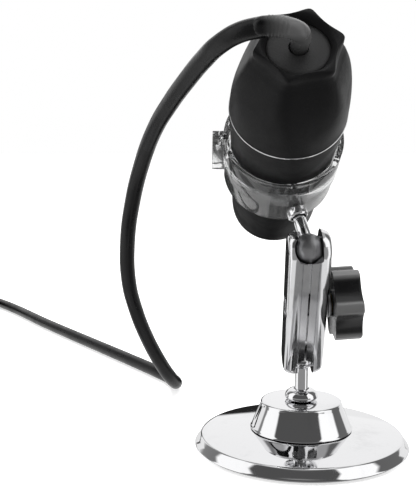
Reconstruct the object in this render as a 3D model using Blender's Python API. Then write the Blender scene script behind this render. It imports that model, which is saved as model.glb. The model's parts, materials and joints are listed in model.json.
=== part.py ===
"""A USB digital microscope held by a clear plastic ring on a ball-jointed chrome stand.

Metres, +Z up. The origin is the middle of the underside of the foot pad. The arm leans
toward -Y, and the microscope's tail, where the cord leaves, rises toward -Y.
"""

import math

import bmesh
import bpy
import numpy as np
from mathutils import Matrix, Vector

for item in list(bpy.data.objects):
    bpy.data.objects.remove(item, do_unlink=True)

# Clearances shared by the whole object
GAP = 0.0003
OVERRUN = 0.002
MERGE = 0.000001

# Poses of the joints in the photograph
ARM_AZIMUTH = math.radians(1.0)
ARM_LEAN = math.radians(35.6)
ARM_ROLL = math.radians(6.0)
HEAD_TURN = math.radians(4.7)
HEAD_PITCH = math.radians(57.7)
HEAD_ROLL = math.radians(13.4)

# Foot: pad, iron weight, chrome disc, dome and collar
BASE_RADIUS = 0.035
BASE_RIM_BOTTOM = 0.0008
BASE_RIM_TOP = 0.0038
BASE_CREST_RADIUS = 0.029
BASE_CREST_HEIGHT = 0.0050
BASE_DISH_RADIUS = 0.020
BASE_DISH_HEIGHT = 0.0046
BASE_SKIN = 0.0016
BASE_WALL = 0.0022
BASE_EDGE = 0.0005
BASE_BORE = 0.0125
PAD_THICKNESS = 0.0011
WEIGHT_COLUMN_RADIUS = 0.0110
WEIGHT_COLUMN_TOP = 0.0105
DOME_FOOT_RADIUS = 0.0164
DOME_TOP_RADIUS = 0.0133
DOME_TOP = 0.0154
DOME_WALL = 0.0018
DOME_FILLET = 0.0010
COLLAR_RADIUS = 0.0054
COLLAR_HEIGHT = 0.0035
COLLAR_SHARES = [(0.60, 1.0), (0.80, 0.88), (0.94, 0.62), (1.0, 0.30), (1.0, 0.0)]

# Ball studs
BALL_RADIUS = 0.0045
POST_RADIUS = 0.0022
POST_FLANGE_RADIUS = 0.0040
POST_FLANGE_THICKNESS = 0.0014
LOWER_BALL_HEIGHT = 0.0301
ROD_RADIUS = 0.0020
ROD_REACH = 0.0308

# Two-jaw arm
ARM_SPAN = 0.04725
JAW_INNER = 0.0006
JAW_CREASE = 0.0033
JAW_OUTER = 0.0063
JAW_HALF_WIDTH = 0.0058
JAW_SLOPE = 0.0005
JAW_CORNER = 0.0009
JAW_END_POINTS = 13
UPPER_SLOT_HALF_WIDTH = 0.0035
UPPER_SLOT_DEPTH = 0.0009
LOWER_SLOT_HALF_WIDTH = 0.0030
LOWER_SLOT_DEPTH = 0.0042
CLAMP_ALONG = 0.0238
BOLT_RADIUS = 0.0016
BOLT_HEAD_RADIUS = 0.0036
BOLT_HEAD_THICKNESS = 0.0014
BOLT_HEAD_PROUD = 0.0004
SPRING_RADIUS = 0.0026
SPRING_WIRE = 0.0004
SPRING_CHAMBER_RADIUS = 0.0036
SPRING_CHAMBER_DEPTH = 0.0026
SPRING_CURLS = 3.5
SPRING_POINTS = 10

# Clamp knob
KNOB_RADIUS = 0.0117
KNOB_DEPTH = 0.0083
KNOB_BEVEL = 0.0006
KNOB_LOBES = 6
KNOB_LOBE_TURN = math.radians(9.0)
KNOB_SCALLOP_RADIUS = 0.0085
KNOB_SCALLOP_DEPTH = 0.0022
KNOB_FACE_RECESS = 0.0008
KNOB_FACE_RECESS_RADIUS = 0.0065
KNOB_END_WALL = 0.0020
INSERT_RADIUS = 0.0032
WASHER_RADIUS = 0.0042
WASHER_THICKNESS = 0.0010

# Clear ring holder, measured along the microscope's axis from the boss
RING_RADIUS = 0.0176
RING_WALL = 0.0016
RING_LOWER_STEP = 0.0007
RING_FIT = 0.0005
RING_TOP = 0.0132
RING_STEP = 0.0020
RING_BOTTOM = -0.0065
RING_EDGE = 0.0004
RING_SPLIT = 0.0016
RING_SPLIT_ANGLE = math.radians(167.0)
EAR_THICKNESS = 0.0016
EAR_REACH = 0.0031
EAR_BOTTOM = -0.0010
BOSS_RADIUS = 0.0030
BOSS_HEIGHT = 0.0024
BOSS_FLOOR = 0.0006
BOSS_STEM_RADIUS = 0.0012

# Microscope shells, radii and stations along the axis
TAIL_END = 0.05526
TAIL_LOBE_RADIUS = 0.00986
TAIL_CORNER_RADIUS = 0.0127
TAIL_CORNER_STATION = 0.0547
SHOULDER_RADIUS = 0.01425
SHOULDER_STATION = 0.0495
HIP_RADIUS = 0.01547
HIP_STATION = 0.0445
BELLY_RADIUS = 0.01627
BELLY_STATION = 0.0370
SEAM_RADIUS = 0.0165
SEAM_STATION = 0.0275
SHELL_WALL = 0.0015
INNER_SHOULDER_RADIUS = 0.0118
INNER_SHOULDER_STATION = 0.0470
CAP_RADIUS = 0.0084
CAP_FACE = 0.0532
CAP_THICKNESS = 0.0013
CAP_LEDGE = 0.0012
CAP_CROWN = 0.0003
TRIM_WIDTH = 0.0009
TRIM_PROUD = 0.0002
SCOOP_COUNT = 6
SCOOP_FIRST_ANGLE = math.radians(29.4)
SCOOP_RADIUS = 0.0145
SCOOP_TAIL_RADIUS = 0.00923
SCOOP_TAIL_STATION = 0.0560
SCOOP_FRONT_RADIUS = 0.0172
SCOOP_FRONT_STATION = 0.0393
SCOOP_OVERRUN = 0.012
SPIGOT_LENGTH = 0.0030
FRONT_MID_RADIUS = 0.0155
FRONT_END_RADIUS = 0.0147
FRONT_END = -0.0075
FRONT_EDGE = 0.0006
FRONT_BORE = 0.0131

# Focus nose and what it carries
NOSE_RADIUS = 0.0146
NOSE_MID_RADIUS = 0.0139
NOSE_MID_STATION = -0.0200
NOSE_LIP_RADIUS = 0.0124
NOSE_SHOULDER_RADIUS = 0.0132
NOSE_SHOULDER_STATION = -0.0280
NOSE_END = -0.0300
NOSE_LIP_BORE = 0.0108
NOSE_LIP_THICKNESS = 0.0010
FRAME_RADIUS = 0.0118
FRAME_WALL = 0.0012
FRAME_FLANGE_THICKNESS = 0.0017
FRAME_TOP = 0.0262
LED_BOARD_STATION = -0.0245
LED_BOARD_BORE = 0.0058
BOARD_THICKNESS = 0.0008
LED_COUNT = 8
LED_RADIUS = 0.0011
LED_HEIGHT = 0.0014
LED_CIRCLE = 0.0080
WINDOW_THICKNESS = 0.0010
LENS_TUBE_RADIUS = 0.0052
LENS_TUBE_WALL = 0.0009
LENS_TUBE_TOP = -0.0030
LENS_TUBE_BOTTOM = -0.0190
LENS_FLANGE_STATION = -0.0110
LENS_FLANGE_THICKNESS = 0.0020
LENS_THICKNESS = 0.0016
FRONT_LENS_STATION = -0.0170
REAR_LENS_STATION = -0.0060
LENS_BULGE = 0.0005
SENSOR_STATION = 0.0126
SENSOR_SIZE = 0.0062
SENSOR_THICKNESS = 0.0010
FILTER_SIZE = 0.0054
FILTER_THICKNESS = 0.0005

# Electronics in the tail, and the snapshot button
MAIN_BOARD_HEIGHT = 0.0050
MAIN_BOARD_THICKNESS = 0.0012
MAIN_BOARD_FRONT = 0.0315
MAIN_BOARD_LENGTH = 0.0125
CHIP_SIZE = 0.0060
CHIP_THICKNESS = 0.0010
SOCKET_WIDTH = 0.0070
SOCKET_LENGTH = 0.0030
SOCKET_HEIGHT = 0.0025
SWITCH_SIZE = 0.0060
SWITCH_HEIGHT = 0.0030
BUTTON_STATION = 0.0360
BUTTON_RADIUS = 0.0034
BUTTON_PROUD = 0.0006
BUTTON_FLANGE_RADIUS = 0.0046
BUTTON_FLANGE_THICKNESS = 0.0009
BUTTON_STEM_RADIUS = 0.0014
BUTTON_TRAVEL = 0.0006
BUTTON_TURN = (math.radians(-90), 0, 0)

# Cord, coil, tie and plug
CORD_RADIUS = 0.0026
RELIEF_RADIUS = 0.0023
RELIEF_RIB = 0.0003
RELIEF_RIBS = 7
RELIEF_FLANGE_RADIUS = 0.0045
RELIEF_FLANGE_THICKNESS = 0.0010
CORD_STEP = 0.012
COIL_CENTRE = (-0.2205, 0.2295)
COIL_PITCH = 0.0057
COIL_OUTER_RADIUS = 0.0357
COIL_TURNS_IN = 2.5
COIL_POINTS = 24
COIL_LIFT = 0.0008
COIL_START_ANGLE = math.radians(36.9)
TIE_THICKNESS = 0.0005
TIE_WIDTH = 0.0040
TIE_TURNS_ON = 0.78
PLUG_WIDTH = 0.0156
PLUG_HEIGHT = 0.0078
PLUG_LENGTH = 0.030
PLUG_BEVEL = 0.0014
PLUG_SHELL_WIDTH = 0.0120
PLUG_SHELL_HEIGHT = 0.0045
PLUG_SHELL_LENGTH = 0.0120
PLUG_SHELL_WALL = 0.0004
PLUG_SHELL_ROOT = 0.0060
PLUG_TONGUE_HEIGHT = 0.0018
PLUG_NECK_LENGTH = 0.0100
PLUG_NECK_RADIUS = 0.0036
PLUG_NECK_TIP_RADIUS = 0.0029

# Route of the relief in the microscope's own axes, and of the lead down to the table
# and along it
RELIEF_ROUTE = [
    (0.0005, 0.0002, 0.0543),
    (0.0004, 0.0002, 0.0573),
    (-0.0011, 0.0000, 0.0601),
    (-0.0047, 0.0005, 0.0619),
    (-0.0090, 0.0017, 0.0618),
]
LEAD_ROUTE = [
    (-0.0128, -0.0652, 0.1265),
    (-0.0185, -0.0618, 0.1257),
    (-0.0239, -0.0560, 0.1236),
    (-0.0288, -0.0475, 0.1205),
    (-0.0341, -0.0370, 0.1162),
    (-0.0399, -0.0250, 0.1109),
    (-0.0466, -0.0110, 0.1032),
    (-0.0523, 0.0010, 0.0928),
    (-0.0567, 0.0090, 0.0803),
    (-0.0596, 0.0150, 0.0662),
    (-0.0604, 0.0220, 0.0500),
    (-0.0588, 0.0270, 0.0394),
    (-0.0561, 0.0335, 0.0285),
    (-0.0522, 0.0410, 0.0172),
    (-0.0487, 0.0500, 0.0080),
    (-0.0478, 0.0590, 0.0036),
    (-0.0510, 0.0690, 0.0026),
    (-0.0590, 0.0805, 0.0026),
    (-0.0740, 0.1005, 0.0026),
    (-0.0893, 0.1205, 0.0026),
    (-0.1265, 0.1690, 0.0026),
    (-0.1742, 0.2330, 0.0027),
]
TAIL_ROUTE_ALONG = (0.0, 0.012, 0.024, 0.036, 0.048)
TAIL_ROUTE_DROP_SHARES = (0.0, 0.0, 0.25, 0.75, 1.0)


def material(name, colour, roughness, metallic=0.0, transmission=0.0):
    """A Principled material in one colour."""
    made = bpy.data.materials.new(name)
    made.use_nodes = True
    shader = made.node_tree.nodes["Principled BSDF"]
    shader.inputs["Base Color"].default_value = (*colour, 1.0)
    shader.inputs["Roughness"].default_value = roughness
    shader.inputs["Metallic"].default_value = metallic
    shader.inputs["Transmission Weight"].default_value = transmission
    made.diffuse_color = (*colour, 1.0)
    return made


CHROME = material("polished_chrome", (0.80, 0.80, 0.82), 0.06, metallic=1.0)
SATIN = material("satin_steel", (0.52, 0.52, 0.54), 0.28, metallic=1.0)
STEEL = material("plain_steel", (0.56, 0.56, 0.58), 0.35, metallic=1.0)
IRON = material("cast_iron", (0.12, 0.12, 0.13), 0.60, metallic=1.0)
BRASS = material("brass", (0.72, 0.52, 0.22), 0.30, metallic=1.0)
FOAM = material("black_foam", (0.02, 0.02, 0.02), 0.95)
BLACK_MATTE = material("matte_black_plastic", (0.012, 0.012, 0.013), 0.50)
BLACK_GLOSS = material("gloss_black_plastic", (0.010, 0.010, 0.012), 0.12)
BLACK_SOFT = material("black_cord_jacket", (0.014, 0.014, 0.014), 0.45)
CLEAR = material("clear_plastic", (0.95, 0.96, 0.97), 0.05, transmission=1.0)
GLASS = material("lens_glass", (0.96, 0.98, 1.0), 0.0, transmission=1.0)
BOARD = material("circuit_board", (0.02, 0.16, 0.06), 0.45)
CHIP = material("chip_black", (0.02, 0.02, 0.02), 0.40)
IVORY = material("ivory_plastic", (0.80, 0.77, 0.68), 0.45)
LED = material("led_lens", (0.92, 0.90, 0.70), 0.10, transmission=0.6)
FILTER = material("filter_glass", (0.75, 0.35, 0.40), 0.05, transmission=0.8)


def frame(name, place):
    """An empty that carries pieces modelled in its own axes."""
    empty = bpy.data.objects.new(name, None)
    bpy.context.collection.objects.link(empty)
    empty.matrix_world = place
    return empty


def place(piece, parent=None, at=(0, 0, 0), turn=(0, 0, 0)):
    piece.parent = parent
    piece.location = at
    piece.rotation_euler = turn
    return piece


def dress(piece, finish, sharp=math.radians(35)):
    piece.data.materials.clear()
    piece.data.materials.append(finish)
    if piece.type == "MESH":
        piece.data.shade_smooth()
        piece.data.set_sharp_from_angle(angle=sharp)
    return piece


def as_cutter(piece):
    piece.hide_render = True
    piece.display_type = "WIRE"
    return piece


def mesh_object(name, points, edges=(), faces=()):
    mesh = bpy.data.meshes.new(name)
    mesh.from_pydata([tuple(point) for point in points], list(edges), list(faces))
    mesh.update()
    piece = bpy.data.objects.new(name, mesh)
    bpy.context.collection.objects.link(piece)
    return piece


def skinned(name, rings):
    """A closed body through rings of as many points each, with flat ends."""
    count = len(rings[0])
    faces = [list(range(count)), list(range(len(rings) * count - count, len(rings) * count))]
    for ring in range(len(rings) - 1):
        for i in range(count):
            low = ring * count
            after = (i + 1) % count
            faces.append((low + i, low + after, low + count + after, low + count + i))
    piece = mesh_object(name, [point for ring in rings for point in ring], faces=faces)
    shape = bmesh.new()
    shape.from_mesh(piece.data)
    bmesh.ops.recalc_face_normals(shape, faces=shape.faces)
    shape.to_mesh(piece.data)
    shape.free()
    return piece


def turned(name, profile, steps, ring=False):
    """Turns (radius, station) points about Z. The outer side runs from top to bottom."""
    points = [(radius, 0.0, station) for radius, station in profile]
    edges = [(i, i + 1) for i in range(len(points) - 1)]
    if ring:
        edges.append((len(points) - 1, 0))
    piece = mesh_object(name, points, edges)
    screw = piece.modifiers.new("turn", "SCREW")
    screw.axis = "Z"
    screw.steps = steps
    screw.render_steps = steps
    screw.use_merge_vertices = True
    screw.merge_threshold = MERGE
    screw.use_smooth_shade = True
    return piece


def boolean(piece, tool, operation="DIFFERENCE"):
    cut = piece.modifiers.new(operation.lower(), "BOOLEAN")
    cut.operation = operation
    cut.solver = "EXACT"
    cut.object = tool
    as_cutter(tool)
    return piece


def block(name, low, high, bevel=0.0, segments=2):
    """A box between two corners, its edges rounded."""
    shape = bmesh.new()
    bmesh.ops.create_cube(shape, size=1.0)
    for vertex in shape.verts:
        for axis in range(3):
            vertex.co[axis] = high[axis] if vertex.co[axis] > 0 else low[axis]
    if bevel > 0:
        bmesh.ops.bevel(shape, geom=list(shape.edges), offset=bevel, segments=segments,
                        profile=0.5, affect="EDGES", clamp_overlap=True)
    piece = mesh_object(name, [])
    shape.to_mesh(piece.data)
    shape.free()
    return piece


def rod(name, radius, low, high, sides=24):
    """A straight round bar along Z."""
    return turned(name, [(0, high), (radius, high), (radius, low), (0, low)], sides)


def ball_arc(radius, start, end, count):
    """Points of a ball's profile between two angles from its top."""
    return [(radius * math.sin(angle), radius * math.cos(angle))
            for angle in np.linspace(start, end, count)]


def smooth_points(route, step):
    """Evenly spaced points of a smooth curve through the route's own points."""
    knots = [Vector(point) for point in route]
    knots = [2 * knots[0] - knots[1]] + knots + [2 * knots[-1] - knots[-2]]
    fine = []
    for a, b, c, d in zip(knots, knots[1:], knots[2:], knots[3:]):
        for t in np.linspace(0, 1, 16, endpoint=False):
            fine.append(0.5 * ((2 * b) + (c - a) * t + (2 * a - 5 * b + 4 * c - d) * t * t
                               + (3 * b - a - 3 * c + d) * t ** 3))
    fine.append(knots[-2])
    runs = np.array([0.0] + [(q - p).length for p, q in zip(fine, fine[1:])]).cumsum()
    count = max(2, round(runs[-1] / step) + 1)
    wanted = np.linspace(0, runs[-1], count)
    table = np.array(fine)
    return [Vector([np.interp(s, runs, table[:, axis]) for axis in range(3)]) for s in wanted]


def tube(name, points, radius, resolution, swell=None):
    """A closed tube along points, with an own radius share at each if given."""
    curve = bpy.data.curves.new(name, "CURVE")
    curve.dimensions = "3D"
    curve.bevel_depth = radius
    curve.bevel_resolution = resolution
    curve.use_fill_caps = True
    spline = curve.splines.new("POLY")
    spline.points.add(len(points) - 1)
    start = Vector(points[0])
    for i, point in enumerate(points):
        spline.points[i].co = (*(Vector(point) - start), 1.0)
        spline.points[i].radius = 1.0 if swell is None else swell[i]
    spline.use_smooth = True
    piece = bpy.data.objects.new(name, curve)
    bpy.context.collection.objects.link(piece)
    piece.location = start
    return piece


def length_of(points):
    return sum((Vector(q) - Vector(p)).length for p, q in zip(points, points[1:]))


# Frames that carry the arm, the upper stud and the microscope
lower_ball = Vector((0, 0, LOWER_BALL_HEIGHT))
arm_place = (Matrix.Translation(lower_ball) @ Matrix.Rotation(ARM_AZIMUTH, 4, "Z")
             @ Matrix.Rotation(ARM_LEAN, 4, "X") @ Matrix.Rotation(ARM_ROLL, 4, "Z"))
upper_ball = arm_place @ Vector((0, 0, ARM_SPAN))
head_turn = (Matrix.Rotation(HEAD_TURN, 4, "Z") @ Matrix.Rotation(HEAD_PITCH, 4, "X")
             @ Matrix.Rotation(HEAD_ROLL, 4, "Z"))
ring_centre = upper_ball + head_turn @ Vector((0, ROD_REACH, 0))
head_place = Matrix.Translation(ring_centre) @ head_turn
stud_place = (Matrix.Translation(upper_ball) @ head_turn
              @ Matrix.Rotation(math.radians(-90), 4, "X"))
clamp_place = (arm_place @ Matrix.Translation((0, 0, CLAMP_ALONG))
               @ Matrix.Rotation(math.radians(90), 4, "Y"))

ARM = frame("arm_frame", arm_place)
CLAMP = frame("clamp_frame", clamp_place)
STUD = frame("upper_stud_frame", stud_place)
HEAD = frame("head_frame", head_place)
girth = (RING_RADIUS - RING_WALL - RING_FIT) / FRONT_MID_RADIUS
SCOPE = frame("scope_frame", head_place @ Matrix.Diagonal((girth, girth, 1, 1)))


def make_base():
    """The heavy foot: a chrome disc and dome over an iron weight on a foam pad."""
    under = BASE_DISH_HEIGHT - BASE_SKIN
    recess = BASE_RADIUS - BASE_WALL
    disc = turned("base_disc", [
        (BASE_BORE, BASE_DISH_HEIGHT),
        (BASE_DISH_RADIUS, BASE_DISH_HEIGHT),
        (BASE_CREST_RADIUS, BASE_CREST_HEIGHT),
        (BASE_RADIUS - 2 * BASE_EDGE, BASE_RIM_TOP + BASE_EDGE),
        (BASE_RADIUS, BASE_RIM_TOP),
        (BASE_RADIUS, BASE_RIM_BOTTOM + BASE_EDGE),
        (BASE_RADIUS - BASE_EDGE, BASE_RIM_BOTTOM),
        (recess, BASE_RIM_BOTTOM),
        (recess, under),
        (BASE_BORE, under),
    ], 56, ring=True)
    dress(disc, CHROME)

    pad = turned("base_pad", [
        (0, PAD_THICKNESS),
        (recess - GAP, PAD_THICKNESS),
        (recess - GAP, 0),
        (0, 0),
    ], 32)
    dress(pad, FOAM)

    weight_bottom = PAD_THICKNESS + GAP
    weight = turned("base_weight", [
        (0, WEIGHT_COLUMN_TOP),
        (WEIGHT_COLUMN_RADIUS, WEIGHT_COLUMN_TOP),
        (WEIGHT_COLUMN_RADIUS, under - GAP),
        (recess - GAP, under - GAP),
        (recess - GAP, weight_bottom),
        (0, weight_bottom),
    ], 32)
    dress(weight, IRON)

    foot = BASE_DISH_HEIGHT + GAP
    bore = POST_RADIUS + GAP
    skin = DOME_TOP - DOME_WALL
    dome = turned("base_dome", [
        (bore, DOME_TOP),
        (DOME_TOP_RADIUS - DOME_FILLET, DOME_TOP),
        (DOME_TOP_RADIUS - DOME_FILLET * 0.3, DOME_TOP - DOME_FILLET * 0.3),
        (DOME_TOP_RADIUS, DOME_TOP - DOME_FILLET),
        (DOME_FOOT_RADIUS - DOME_FILLET, foot + 2 * DOME_FILLET),
        (DOME_FOOT_RADIUS - DOME_FILLET * 0.4, foot + DOME_FILLET),
        (DOME_FOOT_RADIUS, foot + DOME_FILLET * 0.3),
        (DOME_FOOT_RADIUS, foot),
        (DOME_FOOT_RADIUS - DOME_FILLET - DOME_WALL, foot),
        (DOME_TOP_RADIUS - DOME_WALL, skin),
        (bore, skin),
    ], 44, ring=True)
    dress(dome, CHROME)

    seat = DOME_TOP + GAP
    crown = seat + COLLAR_HEIGHT
    arc = [(COLLAR_RADIUS * share, seat + COLLAR_HEIGHT * rise)
           for share, rise in COLLAR_SHARES]
    collar = turned("post_collar", [(bore, crown)] + arc + [(bore, seat)], 32, ring=True)
    dress(collar, CHROME)


def make_lower_stud():
    """The post and ball, turned from one bar, with a flange under the dome."""
    neck = math.pi - math.asin(POST_RADIUS / BALL_RADIUS)
    arc = [(r, LOWER_BALL_HEIGHT + z) for r, z in ball_arc(BALL_RADIUS, 0, neck, 11)]
    flange_top = DOME_TOP - DOME_WALL - GAP
    flange_bottom = flange_top - POST_FLANGE_THICKNESS
    stud = turned("lower_stud", arc + [
        (POST_RADIUS, flange_top),
        (POST_FLANGE_RADIUS, flange_top),
        (POST_FLANGE_RADIUS, flange_bottom),
        (0, flange_bottom),
    ], 24)
    dress(stud, SATIN)


def jaw_outline(inset):
    """The jaw's outline seen from its side: straight, and round about each ball."""
    reach = JAW_HALF_WIDTH - inset
    upper = [(reach * math.cos(a), ARM_SPAN + reach * math.sin(a))
             for a in np.linspace(0, math.pi, JAW_END_POINTS)]
    lower = [(-y, ARM_SPAN - z) for y, z in upper]
    return upper + lower


def make_jaw(name, side, cutters):
    """One jaw of the arm, on the +X side, or mirrored on the -X side."""
    slope_end = JAW_OUTER - JAW_CORNER
    levels = [
        (JAW_INNER, 0),
        (JAW_CREASE, 0),
        (slope_end, JAW_SLOPE),
        (slope_end + JAW_CORNER * 0.7, JAW_SLOPE + JAW_CORNER * 0.3),
        (JAW_OUTER, JAW_SLOPE + JAW_CORNER),
    ]
    rings = [[(side * x, y, z) for y, z in jaw_outline(inset)] for x, inset in levels]
    jaw = place(skinned(name, rings), ARM)
    for cutter in cutters:
        boolean(jaw, cutter)
    return dress(jaw, CHROME, math.radians(24))


def ball_seat(label, centre, outward, half_width, depth):
    """The cutters of one ball's seat: a slot with an oval end, and a cup."""
    arc = [(half_width * math.cos(a), centre - outward * depth * math.sin(a))
           for a in np.linspace(0, math.pi, JAW_END_POINTS)]
    far = centre + outward * (JAW_HALF_WIDTH + OVERRUN)
    wide = JAW_HALF_WIDTH + OVERRUN
    outline = arc + [(-half_width, far), (half_width, far)]
    slot = skinned(f"{label}_slot", [[(x, y, z) for x, z in outline] for y in (-wide, wide)])
    cup = turned(f"{label}_cup", [(r, centre + z) for r, z in
                                  ball_arc(BALL_RADIUS + GAP, 0, math.pi, 13)], 24)
    return [place(slot, ARM), place(cup, ARM)]


def clamp_cutter():
    """The bolt's bore through both jaws, the spring's chamber and the bolt head's recess."""
    bore = BOLT_RADIUS + GAP
    end = JAW_OUTER + OVERRUN
    chamber = JAW_INNER + SPRING_CHAMBER_DEPTH
    recess = BOLT_HEAD_RADIUS + GAP
    floor = 2 * GAP + BOLT_HEAD_THICKNESS - JAW_OUTER - BOLT_HEAD_PROUD
    return place(turned("clamp_bore", [
        (0, end),
        (bore, end),
        (bore, chamber),
        (SPRING_CHAMBER_RADIUS, chamber),
        (SPRING_CHAMBER_RADIUS, -chamber),
        (bore, -chamber),
        (bore, floor),
        (recess, floor),
        (recess, -end),
        (0, -end),
    ], 24), CLAMP)


def make_arm():
    """Two jaws that grip both balls, a bolt through them and the spring between them."""
    cutters = (ball_seat("lower", 0, -1, LOWER_SLOT_HALF_WIDTH, LOWER_SLOT_DEPTH)
               + ball_seat("upper", ARM_SPAN, 1, UPPER_SLOT_HALF_WIDTH, UPPER_SLOT_DEPTH)
               + [clamp_cutter()])
    make_jaw("fixed_jaw", -1, cutters)
    make_jaw("moving_jaw", 1, cutters)

    head_face = GAP + BOLT_HEAD_THICKNESS - JAW_OUTER - BOLT_HEAD_PROUD
    tip = knob_floor() - GAP
    bolt = turned("clamp_bolt", [
        (0, tip),
        (BOLT_RADIUS, tip),
        (BOLT_RADIUS, head_face),
        (BOLT_HEAD_RADIUS, head_face),
        (BOLT_HEAD_RADIUS * 0.92, head_face - BOLT_HEAD_THICKNESS * 0.55),
        (BOLT_HEAD_RADIUS * 0.62, head_face - BOLT_HEAD_THICKNESS * 0.90),
        (0, head_face - BOLT_HEAD_THICKNESS),
    ], 24)
    dress(place(bolt, CLAMP), SATIN)

    half = JAW_INNER + SPRING_CHAMBER_DEPTH - GAP - SPRING_WIRE
    count = round(SPRING_CURLS * SPRING_POINTS)
    points = []
    for i in range(count + 1):
        a = 2 * math.pi * i / SPRING_POINTS
        along = -half + 2 * half * i / count
        points.append(clamp_place @ Vector((SPRING_RADIUS * math.cos(a),
                                            SPRING_RADIUS * math.sin(a), along)))
    spring = tube("jaw_spring", points, SPRING_WIRE, 1)
    dress(spring, STEEL)
    print("least gap in jaw_spring mm", round(1000 * least_gap(points, SPRING_WIRE,
                                                               SPRING_POINTS // 2), 2))


def knob_inner():
    """Station of the knob's inner face along the clamp bolt."""
    return JAW_OUTER + 2 * GAP + WASHER_THICKNESS


def knob_floor():
    """Station where the blind bore of the knob ends."""
    return knob_inner() + KNOB_DEPTH - KNOB_END_WALL


def make_knob():
    """A six-lobed knob on a brass insert, over a plain washer."""
    washer_low = JAW_OUTER + GAP
    washer = turned("knob_washer", [
        (BOLT_RADIUS + GAP, washer_low + WASHER_THICKNESS),
        (WASHER_RADIUS, washer_low + WASHER_THICKNESS),
        (WASHER_RADIUS, washer_low),
        (BOLT_RADIUS + GAP, washer_low),
    ], 20, ring=True)
    dress(place(washer, CLAMP), SATIN)

    low = knob_inner()
    high = low + KNOB_DEPTH
    bore = INSERT_RADIUS + GAP
    floor = knob_floor()
    knob = turned("clamp_knob", [
        (0, high - KNOB_FACE_RECESS),
        (KNOB_FACE_RECESS_RADIUS, high - KNOB_FACE_RECESS),
        (KNOB_FACE_RECESS_RADIUS + KNOB_FACE_RECESS, high),
        (KNOB_RADIUS - KNOB_BEVEL, high),
        (KNOB_RADIUS, high - KNOB_BEVEL),
        (KNOB_RADIUS, low + KNOB_BEVEL),
        (KNOB_RADIUS - KNOB_BEVEL, low),
        (bore, low),
        (bore, floor),
        (0, floor),
    ], 48)
    place(knob, CLAMP)
    reach = KNOB_RADIUS + KNOB_SCALLOP_RADIUS - KNOB_SCALLOP_DEPTH
    for lobe in range(KNOB_LOBES):
        a = math.radians(270) + KNOB_LOBE_TURN + 2 * math.pi * (lobe + 0.5) / KNOB_LOBES
        scallop = rod(f"knob_scallop_{lobe}", KNOB_SCALLOP_RADIUS, low - OVERRUN,
                      high + OVERRUN, 32)
        boolean(knob, place(scallop, CLAMP, (reach * math.cos(a), reach * math.sin(a), 0)))
    dress(knob, BLACK_GLOSS)

    insert = turned("knob_insert", [
        (BOLT_RADIUS + GAP, floor - GAP),
        (INSERT_RADIUS, floor - GAP),
        (INSERT_RADIUS, low),
        (BOLT_RADIUS + GAP, low),
    ], 16, ring=True)
    dress(place(insert, CLAMP), BRASS)


def ring_face():
    """Station, from the upper ball, of the clear ring's outer face."""
    return ROD_REACH - RING_RADIUS


def make_upper_stud():
    """The upper ball and its rod, whose end turns in the boss of the ring."""
    neck = math.pi - math.asin(ROD_RADIUS / BALL_RADIUS)
    arc = [(r, -z) for r, z in ball_arc(BALL_RADIUS, 0, neck, 11)]
    end = ring_face() - GAP - BOSS_FLOOR - GAP
    profile = [(0, end), (ROD_RADIUS, end)] + list(reversed(arc))
    stud = turned("upper_stud", profile, 24)
    dress(place(stud, STUD), SATIN)


def make_holder():
    """The clear split ring with its two ears, and the boss riveted to it."""
    ring_bore = RING_RADIUS - RING_WALL
    lower = RING_RADIUS - RING_LOWER_STEP
    ring = turned("clear_ring", [
        (ring_bore, RING_TOP),
        (RING_RADIUS - RING_EDGE, RING_TOP),
        (RING_RADIUS, RING_TOP - RING_EDGE),
        (RING_RADIUS, RING_STEP),
        (lower, RING_STEP - RING_LOWER_STEP),
        (lower, RING_BOTTOM + RING_EDGE),
        (lower - RING_EDGE, RING_BOTTOM),
        (ring_bore, RING_BOTTOM),
    ], 52, ring=True)
    place(ring, HEAD)

    half = RING_SPLIT / 2 + EAR_THICKNESS
    inner = (ring_bore + lower) / 2
    ears = block("ring_ears", (inner, -half, EAR_BOTTOM),
                 (RING_RADIUS + EAR_REACH, half, RING_TOP - RING_EDGE), RING_EDGE, 1)
    boolean(ring, place(ears, HEAD, turn=(0, 0, RING_SPLIT_ANGLE)), "UNION")
    split = block("ring_split", (ring_bore - OVERRUN, -RING_SPLIT / 2, RING_BOTTOM - OVERRUN),
                  (RING_RADIUS + EAR_REACH + OVERRUN, RING_SPLIT / 2, RING_TOP + OVERRUN))
    boolean(ring, place(split, HEAD, turn=(0, 0, RING_SPLIT_ANGLE)))
    face = ring_face()
    stem_bore = rod("ring_stem_bore", BOSS_STEM_RADIUS + GAP, face - OVERRUN,
                    ROD_REACH - ring_bore + OVERRUN, 20)
    boolean(ring, place(stem_bore, STUD))
    dress(ring, CLEAR)

    seat = face - GAP
    bore = ROD_RADIUS + GAP
    stem_end = ROD_REACH - ring_bore
    boss = turned("ring_boss", [
        (0, stem_end),
        (BOSS_STEM_RADIUS, stem_end),
        (BOSS_STEM_RADIUS, seat),
        (BOSS_RADIUS, seat),
        (BOSS_RADIUS, seat - BOSS_HEIGHT + RING_EDGE),
        (BOSS_RADIUS - RING_EDGE, seat - BOSS_HEIGHT),
        (bore, seat - BOSS_HEIGHT),
        (bore, seat - BOSS_FLOOR),
        (0, seat - BOSS_FLOOR),
    ], 20)
    dress(place(boss, STUD), CHROME)


def cap_seat():
    """Station of the ledge that the end cap rests over."""
    return CAP_FACE - CAP_THICKNESS - GAP


def inner_hip():
    """Inside radius of the rear shell at its hip."""
    return HIP_RADIUS - SHELL_WALL - GAP


def rear_bottom():
    return SEAM_STATION + TRIM_WIDTH / 2 + GAP


def front_top():
    return SEAM_STATION - TRIM_WIDTH / 2 - GAP


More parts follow.
